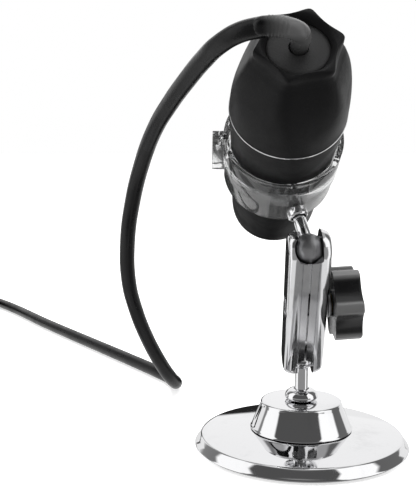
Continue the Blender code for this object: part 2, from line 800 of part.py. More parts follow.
def make_rear_shell():
    """The tail half of the body: lobes left between finger scoops."""
    hole = CAP_RADIUS + GAP
    ledge = cap_seat()
    inner = SEAM_RADIUS - SHELL_WALL
    shell = turned("rear_shell", [
        (hole, CAP_FACE),
        (hole + SHELL_WALL / 2, TAIL_END - SHELL_WALL / 3),
        (TAIL_LOBE_RADIUS, TAIL_END),
        ((TAIL_LOBE_RADIUS + TAIL_CORNER_RADIUS) / 2, TAIL_END),
        (TAIL_CORNER_RADIUS, TAIL_CORNER_STATION),
        (SHOULDER_RADIUS - SHELL_WALL / 2, SHOULDER_STATION + SHELL_WALL),
        (SHOULDER_RADIUS, SHOULDER_STATION),
        ((SHOULDER_RADIUS + HIP_RADIUS) / 2 + GAP / 2, (SHOULDER_STATION + HIP_STATION) / 2),
        (HIP_RADIUS, HIP_STATION),
        ((HIP_RADIUS + BELLY_RADIUS) / 2 + GAP / 3, (HIP_STATION + BELLY_STATION) / 2),
        (BELLY_RADIUS, BELLY_STATION),
        ((BELLY_RADIUS + SEAM_RADIUS) / 2 + GAP / 3, (BELLY_STATION + SEAM_STATION) / 2),
        (SEAM_RADIUS, rear_bottom()),
        (inner, rear_bottom()),
        (inner + GAP / 2, BELLY_STATION),
        (inner_hip(), HIP_STATION - SHELL_WALL),
        (INNER_SHOULDER_RADIUS, INNER_SHOULDER_STATION),
        (CAP_RADIUS, ledge - CAP_LEDGE),
        (CAP_RADIUS - CAP_LEDGE, ledge - CAP_LEDGE),
        (CAP_RADIUS - CAP_LEDGE, ledge),
        (hole, ledge),
    ], 52, ring=True)
    place(shell, SCOPE)
    run = math.hypot(SCOOP_FRONT_RADIUS - SCOOP_TAIL_RADIUS,
                     SCOOP_TAIL_STATION - SCOOP_FRONT_STATION)
    tilt = math.atan2(SCOOP_FRONT_RADIUS - SCOOP_TAIL_RADIUS,
                      SCOOP_TAIL_STATION - SCOOP_FRONT_STATION)
    for i in range(SCOOP_COUNT):
        a = SCOOP_FIRST_ANGLE + 2 * math.pi * i / SCOOP_COUNT
        scoop = rod(f"finger_scoop_{i}", SCOOP_RADIUS, -run - SCOOP_OVERRUN, SCOOP_OVERRUN, 48)
        reach = SCOOP_TAIL_RADIUS + SCOOP_RADIUS / math.cos(tilt)
        spot = (reach * math.cos(a), reach * math.sin(a), SCOOP_TAIL_STATION)
        boolean(shell, place(scoop, SCOPE, spot, (0, -tilt, a)))
    hole_through = rod("button_bore", BUTTON_RADIUS + GAP, 0, BELLY_RADIUS + OVERRUN)
    boolean(shell, place(hole_through, SCOPE, (0, 0, BUTTON_STATION), BUTTON_TURN))
    dress(shell, BLACK_MATTE, math.radians(24))


def make_end_cap():
    low = CAP_FACE - CAP_THICKNESS
    bore = RELIEF_RADIUS + GAP
    cap = turned("end_cap", [
        (bore, CAP_FACE + CAP_CROWN),
        (CAP_RADIUS * 0.6, CAP_FACE + CAP_CROWN * 0.7),
        (CAP_RADIUS - CAP_CROWN, CAP_FACE),
        (CAP_RADIUS, CAP_FACE - CAP_CROWN),
        (CAP_RADIUS, low),
        (bore, low),
    ], 36, ring=True)
    dress(place(cap, SCOPE), BLACK_MATTE)


def make_seam():
    """The thin silver line between the two halves, and the front half with its spigot."""
    inner = SEAM_RADIUS - SHELL_WALL
    half = TRIM_WIDTH / 2
    trim = turned("trim_ring", [
        (inner, SEAM_STATION + half),
        (SEAM_RADIUS + TRIM_PROUD, SEAM_STATION + half),
        (SEAM_RADIUS + TRIM_PROUD, SEAM_STATION - half),
        (inner, SEAM_STATION - half),
    ], 52, ring=True)
    dress(place(trim, SCOPE), CHROME)

    spigot = inner - GAP
    top = front_top()
    front = turned("front_shell", [
        (FRONT_BORE, SEAM_STATION + SPIGOT_LENGTH),
        (spigot, SEAM_STATION + SPIGOT_LENGTH),
        (spigot, top),
        (SEAM_RADIUS, top),
        (FRONT_MID_RADIUS, RING_TOP),
        (FRONT_END_RADIUS, FRONT_END + FRONT_EDGE),
        (FRONT_END_RADIUS - FRONT_EDGE, FRONT_END),
        (FRONT_BORE, FRONT_END),
    ], 48, ring=True)
    dress(place(front, SCOPE), BLACK_MATTE)


def make_nose():
    """The focus nose: a barrel that turns on the inner frame."""
    top = FRONT_END - GAP
    bore = FRAME_RADIUS + GAP
    lip = NOSE_END + NOSE_LIP_THICKNESS
    nose = turned("nose_barrel", [
        (bore, top),
        (NOSE_RADIUS - FRONT_EDGE, top),
        (NOSE_RADIUS, top - FRONT_EDGE),
        (NOSE_MID_RADIUS, NOSE_MID_STATION),
        (NOSE_SHOULDER_RADIUS, NOSE_SHOULDER_STATION),
        (NOSE_LIP_RADIUS, NOSE_END),
        (NOSE_LIP_BORE, NOSE_END),
        (NOSE_LIP_BORE, lip),
        (bore, lip),
    ], 44, ring=True)
    dress(place(nose, SCOPE), BLACK_MATTE)


def frame_bore():
    return FRAME_RADIUS - FRAME_WALL


def make_inside_front():
    """Inner frame, lamp board and lamps, window, lens carrier and sensor."""
    end = NOSE_END + NOSE_LIP_THICKNESS + GAP
    bore = frame_bore()
    tube_piece = turned("inner_frame", [
        (bore, FRAME_TOP),
        (FRONT_BORE - GAP, FRAME_TOP),
        (FRONT_BORE - GAP, FRAME_TOP - FRAME_FLANGE_THICKNESS),
        (FRAME_RADIUS, FRAME_TOP - FRAME_FLANGE_THICKNESS),
        (FRAME_RADIUS, end),
        (bore, end),
    ], 32, ring=True)
    dress(place(tube_piece, SCOPE), BLACK_MATTE)

    fit = bore - GAP
    lamps_top = LED_BOARD_STATION - BOARD_THICKNESS
    lamp_board = turned("led_board", [
        (LED_BOARD_BORE, LED_BOARD_STATION),
        (fit, LED_BOARD_STATION),
        (fit, lamps_top),
        (LED_BOARD_BORE, lamps_top),
    ], 24, ring=True)
    dress(place(lamp_board, SCOPE), BOARD)

    make_lamps(lamps_top - GAP)

    window = turned("nose_window", [
        (0, end + WINDOW_THICKNESS),
        (fit, end + WINDOW_THICKNESS),
        (fit, end),
        (0, end),
    ], 32)
    dress(place(window, SCOPE), CLEAR)

    inner = LENS_TUBE_RADIUS - LENS_TUBE_WALL
    half = LENS_FLANGE_THICKNESS / 2
    carrier = turned("lens_barrel", [
        (inner, LENS_TUBE_TOP),
        (LENS_TUBE_RADIUS, LENS_TUBE_TOP),
        (LENS_TUBE_RADIUS, LENS_FLANGE_STATION + half),
        (fit, LENS_FLANGE_STATION + half),
        (fit, LENS_FLANGE_STATION - half),
        (LENS_TUBE_RADIUS, LENS_FLANGE_STATION - half),
        (LENS_TUBE_RADIUS, LENS_TUBE_BOTTOM),
        (inner, LENS_TUBE_BOTTOM),
    ], 24, ring=True)
    dress(place(carrier, SCOPE), BLACK_MATTE)
    for name, station in (("front_lens", FRONT_LENS_STATION), ("rear_lens", REAR_LENS_STATION)):
        thick = LENS_THICKNESS / 2
        rim = thick - LENS_BULGE
        lens = turned(name, [
            (0, thick),
            (inner * 0.5, thick - LENS_BULGE * 0.3),
            (inner - GAP, rim),
            (inner - GAP, -rim),
            (inner * 0.5, -thick + LENS_BULGE * 0.3),
            (0, -thick),
        ], 20)
        dress(place(lens, SCOPE, (0, 0, station)), GLASS)

    board = rod("sensor_board", fit, SENSOR_STATION, SENSOR_STATION + BOARD_THICKNESS, 24)
    dress(place(board, SCOPE), BOARD)
    half = SENSOR_SIZE / 2
    top = SENSOR_STATION - GAP
    sensor = block("image_sensor", (-half, -half, top - SENSOR_THICKNESS), (half, half, top))
    dress(place(sensor, SCOPE), CHIP)
    half = FILTER_SIZE / 2
    top = top - SENSOR_THICKNESS - GAP
    pane = block("ir_filter", (-half, -half, top - FILTER_THICKNESS), (half, half, top))
    dress(place(pane, SCOPE), FILTER)


def make_lamps(top):
    """Eight lamps on a circle, copies of one turned lens."""
    first = turned("led_1", [
        (0, top),
        (LED_RADIUS, top),
        (LED_RADIUS, top - LED_HEIGHT * 0.7),
        (LED_RADIUS * 0.6, top - LED_HEIGHT),
        (0, top - LED_HEIGHT),
    ], 8)
    dress(first, LED)
    for i in range(LED_COUNT):
        a = 2 * math.pi * (i + 0.5) / LED_COUNT
        lamp = first
        if i:
            lamp = first.copy()
            lamp.name = f"led_{i + 1}"
            bpy.context.collection.objects.link(lamp)
        place(lamp, SCOPE, (LED_CIRCLE * math.cos(a), LED_CIRCLE * math.sin(a), 0))


def make_electronics():
    """The main board across the tail, with its chip, socket and switch."""
    low = MAIN_BOARD_HEIGHT
    high = low + MAIN_BOARD_THICKNESS
    back = MAIN_BOARD_FRONT + MAIN_BOARD_LENGTH
    hip = HIP_STATION - SHELL_WALL
    share = max(0.0, (back - hip) / (INNER_SHOULDER_STATION - hip))
    wall = inner_hip() + (INNER_SHOULDER_RADIUS - inner_hip()) * share
    half = math.sqrt((wall - GAP) ** 2 - high ** 2) - GAP
    board = block("main_board", (-half, low, MAIN_BOARD_FRONT), (half, high, back))
    dress(place(board, SCOPE), BOARD)

    chip = CHIP_SIZE / 2
    middle = MAIN_BOARD_FRONT + chip + BOARD_THICKNESS
    piece = block("main_chip", (-chip, low - GAP - CHIP_THICKNESS, middle - chip),
                  (chip, low - GAP, middle + chip))
    dress(place(piece, SCOPE), CHIP)
    socket = block("cable_socket",
                   (-SOCKET_WIDTH / 2, low - GAP - SOCKET_HEIGHT, back - SOCKET_LENGTH),
                   (SOCKET_WIDTH / 2, low - GAP, back))
    dress(place(socket, SCOPE), IVORY)
    half = SWITCH_SIZE / 2
    switch = block("snap_switch", (-half, high + GAP, BUTTON_STATION - half),
                   (half, high + GAP + SWITCH_HEIGHT, BUTTON_STATION + half))
    dress(place(switch, SCOPE), CHIP)

    stem_end = high + GAP + SWITCH_HEIGHT + BUTTON_TRAVEL + GAP
    under = math.sqrt(inner_hip() ** 2 - BUTTON_FLANGE_RADIUS ** 2) - GAP
    top = BELLY_RADIUS + BUTTON_PROUD
    button = turned("snap_button", [
        (0, top),
        (BUTTON_RADIUS * 0.7, top - BUTTON_PROUD * 0.2),
        (BUTTON_RADIUS, top - BUTTON_PROUD),
        (BUTTON_RADIUS, under),
        (BUTTON_FLANGE_RADIUS, under),
        (BUTTON_FLANGE_RADIUS, under - BUTTON_FLANGE_THICKNESS),
        (BUTTON_STEM_RADIUS, under - BUTTON_FLANGE_THICKNESS),
        (BUTTON_STEM_RADIUS, stem_end),
        (0, stem_end),
    ], 20)
    dress(place(button, SCOPE, (0, 0, BUTTON_STATION), BUTTON_TURN), BLACK_GLOSS)


def least_gap(points, radius, apart):
    """Least free space between stretches of one tube that are not neighbours."""
    table = np.array([tuple(point) for point in points])
    steps = np.linalg.norm(table[:, None] - table[None, :], axis=2)
    index = np.arange(len(table))
    far = np.abs(index[:, None] - index[None, :]) >= apart
    return float(steps[far].min()) - 2 * radius


def coil_points():
    """The coil: in on the table, up half a turn at the eye, then out on top."""
    rise = COIL_PITCH
    reverse = COIL_TURNS_IN + 0.25
    total = 2 * COIL_TURNS_IN + 0.5
    count = round(total * COIL_POINTS)
    floor = CORD_RADIUS + COIL_LIFT
    points = []
    for i in range(count + 1):
        turn = total * i / count
        radius = COIL_OUTER_RADIUS - COIL_PITCH * (reverse - abs(turn - reverse))
        climb = min(1.0, max(0.0, (turn - COIL_TURNS_IN) / 0.5))
        climb = climb * climb * (3 - 2 * climb)
        a = COIL_START_ANGLE + 2 * math.pi * turn
        points.append(Vector((COIL_CENTRE[0] + radius * math.cos(a),
                              COIL_CENTRE[1] + radius * math.sin(a), floor + rise * climb)))
    return points


def straight_end(points, length):
    """Adds a straight run of one diameter before the first point and after the last."""
    first = (points[0] - points[1]).normalized()
    last = (points[-1] - points[-2]).normalized()
    first.z = 0
    last.z = 0
    return [points[0] + first * length] + points + [points[-1] + last * length]


def lead_route(start):
    """The lead's points beyond its first, which follow the relief's end while in the air."""
    first = Vector(LEAD_ROUTE[0])
    table = LEAD_ROUTE[-1][2]
    route = []
    for point in LEAD_ROUTE[1:]:
        share = max(0.0, (point[2] - table) / (first.z - table))
        route.append(Vector(point) + (start - first) * share)
    return route


def make_cord():
    """Strain relief, free lead, wound coil with its tie, tail and plug."""
    sleeve_route = [head_place @ Vector(point) for point in RELIEF_ROUTE]
    relief = smooth_points(sleeve_route, RELIEF_RADIUS / 4)
    axis = head_place.to_3x3() @ Vector((0, 0, 1))
    neck_low = head_place @ Vector((0, 0, cap_seat() - GAP))
    flange_low = neck_low - axis * RELIEF_FLANGE_THICKNESS
    cap_top = head_place @ Vector((0, 0, CAP_FACE + CAP_CROWN + GAP))
    wide = RELIEF_FLANGE_RADIUS / RELIEF_RADIUS
    slope = (CORD_RADIUS + RELIEF_RIB / 2) / RELIEF_RADIUS
    path = [flange_low, neck_low, neck_low + axis * MERGE, cap_top]
    swell = [wide, wide, 1.0, 1.0]
    rib_points = smooth_points([cap_top + axis * RELIEF_RIB] + sleeve_route[1:],
                               length_of(relief) / (3 * RELIEF_RIBS))
    rib = RELIEF_RIB / RELIEF_RADIUS
    for i, point in enumerate(rib_points):
        t = i / (len(rib_points) - 1)
        body = 1.0 + (slope - 1.0) * t
        path.append(point)
        swell.append(body + (rib if i % 3 == 1 and i < len(rib_points) - 1 else 0.0))
    sleeve = tube("strain_relief", path, RELIEF_RADIUS, 2, swell)
    dress(sleeve, BLACK_SOFT)

    coil = straight_end(coil_points(), 2 * CORD_RADIUS)
    into = (coil[0] - coil[1]).normalized()
    finish = coil[0] + into * GAP
    away = (path[-1] - path[-2]).normalized()
    begin = path[-1] + away * GAP
    free = smooth_points([begin + away * CORD_RADIUS] + lead_route(sleeve_route[-1])
                         + [finish + into * 2 * CORD_RADIUS], CORD_STEP)
    lead = [begin] + free + [finish]
    dress(tube("cord_lead", lead, CORD_RADIUS, 2), BLACK_SOFT)
    dress(tube("cord_coil", coil, CORD_RADIUS, 1), BLACK_SOFT)
    print("least gap in cord_coil mm",
          round(1000 * least_gap(coil[1:-1], CORD_RADIUS, COIL_POINTS // 2), 2))

    out = (coil[-1] - coil[-2]).normalized()
    out.z = 0
    out.normalize()
    begin = coil[-1] + out * GAP
    drop = begin.z - plug_height()
    route = [begin + out * along - Vector((0, 0, drop * share))
             for along, share in zip(TAIL_ROUTE_ALONG, TAIL_ROUTE_DROP_SHARES)]
    tail = smooth_points(route, CORD_STEP)
    dress(tube("cord_tail", tail, CORD_RADIUS, 2), BLACK_SOFT)
    make_plug(route[-1] + out * GAP, out)
    make_tie()
    print("cord lengths m: relief", round(length_of(path), 3), "lead",
          round(length_of(lead), 3), "coil", round(length_of(coil), 3), "tail",
          round(length_of(tail), 3))


def plug_height():
    return PLUG_HEIGHT / 2


def make_plug(start, out):
    """A flat plug that lies on the table: neck, grip, metal shell and tongue."""
    place_plug = Matrix.Translation(start) @ out.to_track_quat("Z", "Y").to_matrix().to_4x4()
    plug = frame("plug_frame", place_plug)
    grip_low = PLUG_NECK_LENGTH
    grip_high = grip_low + PLUG_LENGTH
    half_w = PLUG_WIDTH / 2
    half_h = PLUG_HEIGHT / 2
    grip = block("plug_grip", (-half_w, -half_h, grip_low), (half_w, half_h, grip_high),
                 PLUG_BEVEL, 3)
    place(grip, plug)
    socket_low = grip_high - PLUG_SHELL_ROOT
    shell_w = PLUG_SHELL_WIDTH / 2
    shell_h = PLUG_SHELL_HEIGHT / 2
    pocket = block("plug_pocket", (-shell_w - GAP, -shell_h - GAP, socket_low),
                   (shell_w + GAP, shell_h + GAP, grip_high + OVERRUN))
    boolean(grip, place(pocket, plug))
    dress(grip, BLACK_MATTE)

    neck = turned("plug_neck", [
        (0, grip_low - GAP),
        (PLUG_NECK_RADIUS, grip_low - GAP),
        (PLUG_NECK_RADIUS, grip_low - PLUG_NECK_LENGTH / 3),
        (PLUG_NECK_TIP_RADIUS, 0),
        (0, 0),
    ], 16)
    dress(place(neck, plug), BLACK_SOFT)

    shell_low = socket_low + GAP
    shell_high = grip_high + PLUG_SHELL_LENGTH
    shell = block("plug_shell", (-shell_w, -shell_h, shell_low), (shell_w, shell_h, shell_high))
    place(shell, plug)
    wall = PLUG_SHELL_WALL
    hollow = block("plug_shell_hollow", (wall - shell_w, wall - shell_h, shell_low + wall),
                   (shell_w - wall, shell_h - wall, shell_high + OVERRUN))
    boolean(shell, place(hollow, plug))
    dress(shell, CHROME)
    tongue_w = shell_w - wall - GAP
    tongue_low = wall - shell_h + GAP
    tongue = block("plug_tongue", (-tongue_w, tongue_low, shell_low + wall + GAP),
                   (tongue_w, tongue_low + PLUG_TONGUE_HEIGHT, shell_high - 2 * wall))
    dress(place(tongue, plug), IVORY)


def make_tie():
    """A band round all the turns at one side of the coil."""
    a = COIL_START_ANGLE + 2 * math.pi * TIE_TURNS_ON
    turns = COIL_TURNS_IN + 0.25
    outer = COIL_OUTER_RADIUS + CORD_RADIUS + GAP
    inner = COIL_OUTER_RADIUS - COIL_PITCH * turns - CORD_RADIUS - GAP
    low = TIE_THICKNESS
    high = COIL_LIFT + 2 * CORD_RADIUS + COIL_PITCH + GAP
    half = TIE_WIDTH / 2
    band = block("cord_tie", (inner - TIE_THICKNESS, -half, 0),
                 (outer + TIE_THICKNESS, half, high + TIE_THICKNESS))
    centre = (*COIL_CENTRE, 0)
    place(band, None, centre, (0, 0, a))
    hollow = block("tie_hollow", (inner, -TIE_WIDTH, low), (outer, TIE_WIDTH, high))
    boolean(band, place(hollow, None, centre, (0, 0, a)))
    dress(band, BLACK_SOFT)


make_base()
make_lower_stud()
make_arm()
make_knob()
make_upper_stud()
make_holder()
make_rear_shell()
make_end_cap()
make_seam()
make_nose()
make_inside_front()
make_electronics()
make_cord()
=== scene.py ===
# %% [markdown]
# # A desk microscope on its chrome stand
# The real object is a small black camera microscope. A clear plastic ring holds it, a short
# rod and two balls carry the ring, and a chrome foot stands on the table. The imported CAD
# model is the fixed frame: it says where everything is. This script dresses that frame, so
# each place below is worked out from the joints of the frame, in metres.

# %% Load the frame and the tools
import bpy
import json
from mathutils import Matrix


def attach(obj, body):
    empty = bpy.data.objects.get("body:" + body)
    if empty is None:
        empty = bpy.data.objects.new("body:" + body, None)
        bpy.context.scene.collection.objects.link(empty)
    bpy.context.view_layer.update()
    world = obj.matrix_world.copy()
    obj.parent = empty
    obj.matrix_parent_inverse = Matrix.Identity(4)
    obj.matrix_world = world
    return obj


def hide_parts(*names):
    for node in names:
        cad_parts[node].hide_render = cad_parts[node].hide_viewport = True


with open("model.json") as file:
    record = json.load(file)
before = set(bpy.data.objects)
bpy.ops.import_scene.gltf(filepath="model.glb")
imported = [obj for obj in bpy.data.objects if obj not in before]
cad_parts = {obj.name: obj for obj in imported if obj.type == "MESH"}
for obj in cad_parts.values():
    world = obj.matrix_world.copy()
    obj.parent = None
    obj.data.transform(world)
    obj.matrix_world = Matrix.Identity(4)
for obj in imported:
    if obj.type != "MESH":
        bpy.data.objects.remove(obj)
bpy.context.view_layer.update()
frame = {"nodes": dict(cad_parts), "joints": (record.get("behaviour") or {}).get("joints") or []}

import json
import math

import bpy
import numpy as np
from mathutils import Matrix, Vector

# %% [markdown]
# ## Axes
# Every turned piece is easiest to model upright, about Z, and to place afterwards. A joint of
# the frame knows its axis and a point on it, so the joints give the matrices for the arm, the
# clamp bolt, the microscope and the upper rod. Nothing is measured twice, and a change of
# pose in the CAD moves the looks along.

# %% Placements from the joints
joints = {joint["name"]: joint for joint in frame["joints"]}


def joint_axis(name):
    return Vector(joints[name]["axis"]).normalized()


def joint_point(name):
    return Vector(joints[name]["pos_m"])


def placement(origin, x, y, z):
    """A matrix that puts X, Y and Z of a piece along three directions of the object."""
    return Matrix.Translation(origin) @ Matrix((x, y, z)).transposed().to_4x4()


def facing(direction):
    """A turn that brings Z of a piece to one direction."""
    return direction.to_track_quat("Z", "Y").to_matrix().to_4x4()


def linked(name, data):
    """A new object of the scene for a camera, a light or a curve."""
    made = bpy.data.objects.new(name, data)
    bpy.context.collection.objects.link(made)
    return made


def clamped(share):
    return min(max(share, 0), 1)


lower_ball = joint_point("arm_tilt")
upper_ball = joint_point("head_tilt")
arm_x = joint_axis("arm_tilt")
arm_z = (upper_ball - lower_ball).normalized()
arm_y = arm_z.cross(arm_x)
arm = placement(lower_ball, arm_x, arm_y, arm_z)
clamp = placement(joint_point("knob_turn"), -arm_z, arm_y, arm_x)
scope_z = joint_axis("scope_slide")
scope_y = joint_axis("ring_swivel")
scope_x = scope_y.cross(scope_z)
scope = placement(joint_point("focus_turn"), scope_x, scope_y, scope_z)
rod = placement(upper_ball, scope_x, -scope_z, scope_y)
print("arm span mm", round(1000 * (upper_ball - lower_ball).length, 2))

# %% [markdown]
# ## Camera
# The camera stands where the photographer stood: a little above the ring, looking down by
# some six degrees. A long lens keeps the foot from looking larger than it is.

# %% The camera
PHOTO_HEIGHT_PX = 489
FOCAL_PX = 850
SENSOR = 36.0
CAMERA_AT = (-0.01208, -0.27416, 0.09701)
CAMERA_TURN = math.radians(3.9)
CAMERA_TILT = math.radians(90 - 6.34)

camera_data = bpy.data.cameras.new("photo_camera")
camera_data.sensor_width = SENSOR
camera_data.sensor_fit = "AUTO"
camera_data.lens = FOCAL_PX * SENSOR / PHOTO_HEIGHT_PX
camera_data.clip_start = 0.01
camera = linked("photo_camera", camera_data)
camera.matrix_world = (Matrix.Translation(CAMERA_AT) @ Matrix.Rotation(CAMERA_TURN, 4, "Z")
                       @ Matrix.Rotation(CAMERA_TILT, 4, "X"))
bpy.context.scene.camera = camera
print("lens mm", round(camera_data.lens, 2))

# %% [markdown]
# ## The cord
# A cord is a fixed length of something flexible, so its length and route come before its
# looks. A Bezier curve with automatic handles runs smoothly through listed points, and
# its bevel gives it a round section. The photograph shows the lead falling from the tail to
# the table and running out of the picture. The rest is wound in a coil just outside the view.

# %% Sizes and route of the cord
CORD_RADIUS = 0.0026
COIL_CENTRE = (-0.2205, 0.2295)
COIL_PITCH = 0.0057
COIL_OUTER_RADIUS = 0.0357
COIL_TURNS_IN = 2.5
COIL_CROSSING = 0.5
COIL_POINTS = 24
COIL_LIFT = 0.0008
COIL_START_ANGLE = math.radians(36.9)
PLUG_HEIGHT = 0.0078

SLEEVE_ROUTE = [
    (0.0005, 0.0002, 0.0543),
    (0.0004, 0.0002, 0.0573),
    (-0.0011, 0.0000, 0.0601),
    (-0.0047, 0.0005, 0.0619),
    (-0.0090, 0.0017, 0.0618),
]
LEAD_ROUTE = [
    (-0.0185, -0.0618, 0.1257),
    (-0.0239, -0.0560, 0.1236),
    (-0.0288, -0.0475, 0.1205),
    (-0.0341, -0.0370, 0.1162),
    (-0.0399, -0.0250, 0.1109),
    (-0.0466, -0.0110, 0.1032),
    (-0.0523, 0.0010, 0.0928),
    (-0.0567, 0.0090, 0.0803),
    (-0.0596, 0.0150, 0.0662),
    (-0.0604, 0.0220, 0.0500),
    (-0.0588, 0.0270, 0.0394),
    (-0.0561, 0.0335, 0.0285),
    (-0.0522, 0.0410, 0.0172),
    (-0.0487, 0.0500, 0.0080),
    (-0.0478, 0.0590, 0.0037),
    (-0.0510, 0.0690, 0.0028),
    (-0.0590, 0.0805, 0.0028),
    (-0.0740, 0.1005, 0.0028),
    (-0.0893, 0.1205, 0.0028),
    (-0.1265, 0.1690, 0.00285),
    (-0.1742, 0.2330, 0.00300),
]
TAIL_ALONG = (0.0, 0.012, 0.024, 0.036, 0.048)
TAIL_DROP_SHARES = (0.0, 0.0, 0.25, 0.75, 1.0)


def coil_points():
    """In on the table, up half a turn at the eye of the coil, then out on top."""
    reverse = COIL_TURNS_IN + COIL_CROSSING / 2
    total = 2 * COIL_TURNS_IN + COIL_CROSSING
    points = []
    for i in range(round(total * COIL_POINTS) + 1):
        turn = i / COIL_POINTS
        radius = COIL_OUTER_RADIUS - COIL_PITCH * (reverse - abs(turn - reverse))
        climb = clamped((turn - COIL_TURNS_IN) / COIL_CROSSING)
        climb = climb * climb * (3 - 2 * climb)
        a = COIL_START_ANGLE + 2 * math.pi * turn
        points.append(Vector((COIL_CENTRE[0] + radius * math.cos(a),
                              COIL_CENTRE[1] + radius * math.sin(a),
                              CORD_RADIUS + COIL_LIFT + COIL_PITCH * climb)))
    return points


def round_curve(name, kind, radius, sides, fine=12):
    """A curve with a round section, and its one spline."""
    curve = bpy.data.curves.new(name, "CURVE")
    curve.dimensions = "3D"
    curve.resolution_u = fine
    curve.bevel_depth = radius
    curve.bevel_resolution = sides
    curve.use_fill_caps = True
    return curve, curve.splines.new(kind)


# %% Lay the cord
sleeve_points = [scope @ Vector(point) for point in SLEEVE_ROUTE]
wound = coil_points()
leaving = wound[-1] - wound[-2]
leaving.z = 0
leaving.normalize()
tail_start = wound[-1] + leaving * 2 * CORD_RADIUS
drop = tail_start.z - PLUG_HEIGHT / 2
tail_points = [tail_start + leaving * along - Vector((0, 0, drop * share))
               for along, share in zip(TAIL_ALONG, TAIL_DROP_SHARES)]
cord_points = [sleeve_points[-1]] + [Vector(p) for p in LEAD_ROUTE] + wound + tail_points

cord_curve, cord_spline = round_curve("cord", "BEZIER", CORD_RADIUS, 5, fine=8)
cord_spline.bezier_points.add(len(cord_points) - 1)
for knot, point in zip(cord_spline.bezier_points, cord_points):
    knot.co = point
    knot.handle_left_type = "AUTO"
    knot.handle_right_type = "AUTO"
cord = linked("cord", cord_curve)
print("cord points", len(cord_points))

# %% [markdown]
# ## Modelling helpers
# Most pieces of this object were turned on a lathe or moulded round. A profile drawn by
# extruding one vertex from point to point, then spun about the axis, is what a lathe does.
# The alternative, a cylinder pushed into shape ring by ring, takes more steps for the same
# mesh. Hard corners catch no light, so a small bevel follows on every edge that is sharp.

# %% Small helpers around the operators
WELD_DISTANCE = 0.000002


def only(piece):
    """Selects one object alone, so that operators act on nothing else."""
    bpy.ops.object.select_all(action="DESELECT")
    piece.select_set(True)
    bpy.context.view_layer.objects.active = piece
    return piece


def added(name, operator, **settings):
    """Adds a mesh with an operator, and names its object and the mesh."""
    bpy.ops.object.select_all(action="DESELECT")
    operator(**settings)
    piece = bpy.context.active_object
    piece.name = name
    piece.data.name = name
    return piece


def settle(piece, where):
    """Moves a finished mesh to its place, and leaves its object at the origin."""
    only(piece)
    piece.matrix_world = where
    bpy.ops.object.transform_apply(location=True, rotation=True, scale=True)
    return piece


def smooth(piece, angle=40):
    only(piece)
    bpy.ops.object.shade_smooth_by_angle(angle=math.radians(angle))
    return piece


def soften(piece, width, segments=3, angle=35):
    """Rounds every edge sharper than the angle, then shades the rest smooth."""
    only(piece)
    bevel = piece.modifiers.new("soft_edges", "BEVEL")
    bevel.width = width
    bevel.segments = segments
    bevel.limit_method = "ANGLE"
    bevel.angle_limit = math.radians(angle)
    bpy.ops.object.modifier_apply(modifier=bevel.name)
    return smooth(piece)


def combine(piece, tool, operation="DIFFERENCE"):
    """Cuts or joins a second mesh, which is then removed."""
    only(piece)
    step = piece.modifiers.new(operation.lower(), "BOOLEAN")
    step.operation = operation
    step.solver = "EXACT"
    step.object = tool
    bpy.ops.object.modifier_apply(modifier=step.name)
    bpy.data.objects.remove(tool, do_unlink=True)
    return piece


def start_edit():
    bpy.ops.object.mode_set(mode="EDIT")
    bpy.ops.mesh.select_all(action="SELECT")


def extrude(moves):
    """Extrudes what is selected along each move in turn."""
    for move in moves:
        bpy.ops.mesh.extrude_region_move(TRANSFORM_OT_translate={"value": move})


def end_edit(weld=False):
    """Turns all faces outward, after welding points that meet, and leaves edit mode."""
    bpy.ops.mesh.select_all(action="SELECT")
    if weld:
        bpy.ops.mesh.remove_doubles(threshold=WELD_DISTANCE)
    bpy.ops.mesh.normals_make_consistent(inside=False)
    bpy.ops.object.mode_set(mode="OBJECT")


def mark_painted_highlight(piece, amount):
    """Writes how much painted highlight each vertex gets, for its finish to read."""
    painted_highlight = piece.data.attributes.new("painted_highlight", "FLOAT", "POINT")
    for vertex, value in zip(piece.data.vertices, painted_highlight.data):
        value.value = amount(vertex.co)


# %% The lathe, and what profiles are made of
def lathe(name, profile, steps, closed=False):
    """Spins (radius, height) points about Z. A closed profile makes a ring with a bore."""
    piece = added(name, bpy.ops.mesh.primitive_plane_add, size=0.001)
    bpy.ops.object.mode_set(mode="EDIT")
    bpy.ops.mesh.select_mode(type="VERT")
    bpy.ops.mesh.select_all(action="SELECT")
    bpy.ops.mesh.merge(type="CENTER")
    points = [Vector((radius, 0, height)) for radius, height in profile]
    if closed:
        points.append(points[0])
    bpy.ops.transform.translate(value=points[0])
    extrude(there - here for here, there in zip(points, points[1:]))
    bpy.ops.mesh.select_all(action="SELECT")
    bpy.ops.mesh.spin(steps=steps, angle=2 * math.pi, center=(0, 0, 0), axis=(0, 0, 1))
    end_edit(weld=True)
    return piece


def flowing(points, count):
    """Evenly spaced points of a smooth curve through the given ones, flat or in space."""
    knots = [np.array(point, float) for point in points]
    knots = [2 * knots[0] - knots[1]] + knots + [2 * knots[-1] - knots[-2]]
    fine = []
    for a, b, c, d in zip(knots, knots[1:], knots[2:], knots[3:]):
        for t in np.linspace(0, 1, 12, endpoint=False):
            fine.append(0.5 * ((2 * b) + (c - a) * t + (2 * a - 5 * b + 4 * c - d) * t * t
                               + (3 * b - a - 3 * c + d) * t ** 3))
    fine = np.array(fine + [knots[-2]])
    runs = np.concatenate([[0.0], np.cumsum(np.linalg.norm(np.diff(fine, axis=0), axis=1))])
    wanted = np.linspace(0, runs[-1], count)
    return list(zip(*(np.interp(wanted, runs, column) for column in fine.T)))


def arc(centre_radius, centre_height, radius, start, end, count):
    """Points of a round stretch of a profile, its angles in degrees from the outside."""
    return [(centre_radius + radius * math.cos(a), centre_height + radius * math.sin(a))
            for a in map(math.radians, np.linspace(start, end, count))]


def ring_section(inner, outer, low, high):
    """The closed profile of a plain ring."""
    return [(inner, high), (outer, high), (outer, low), (inner, low)]


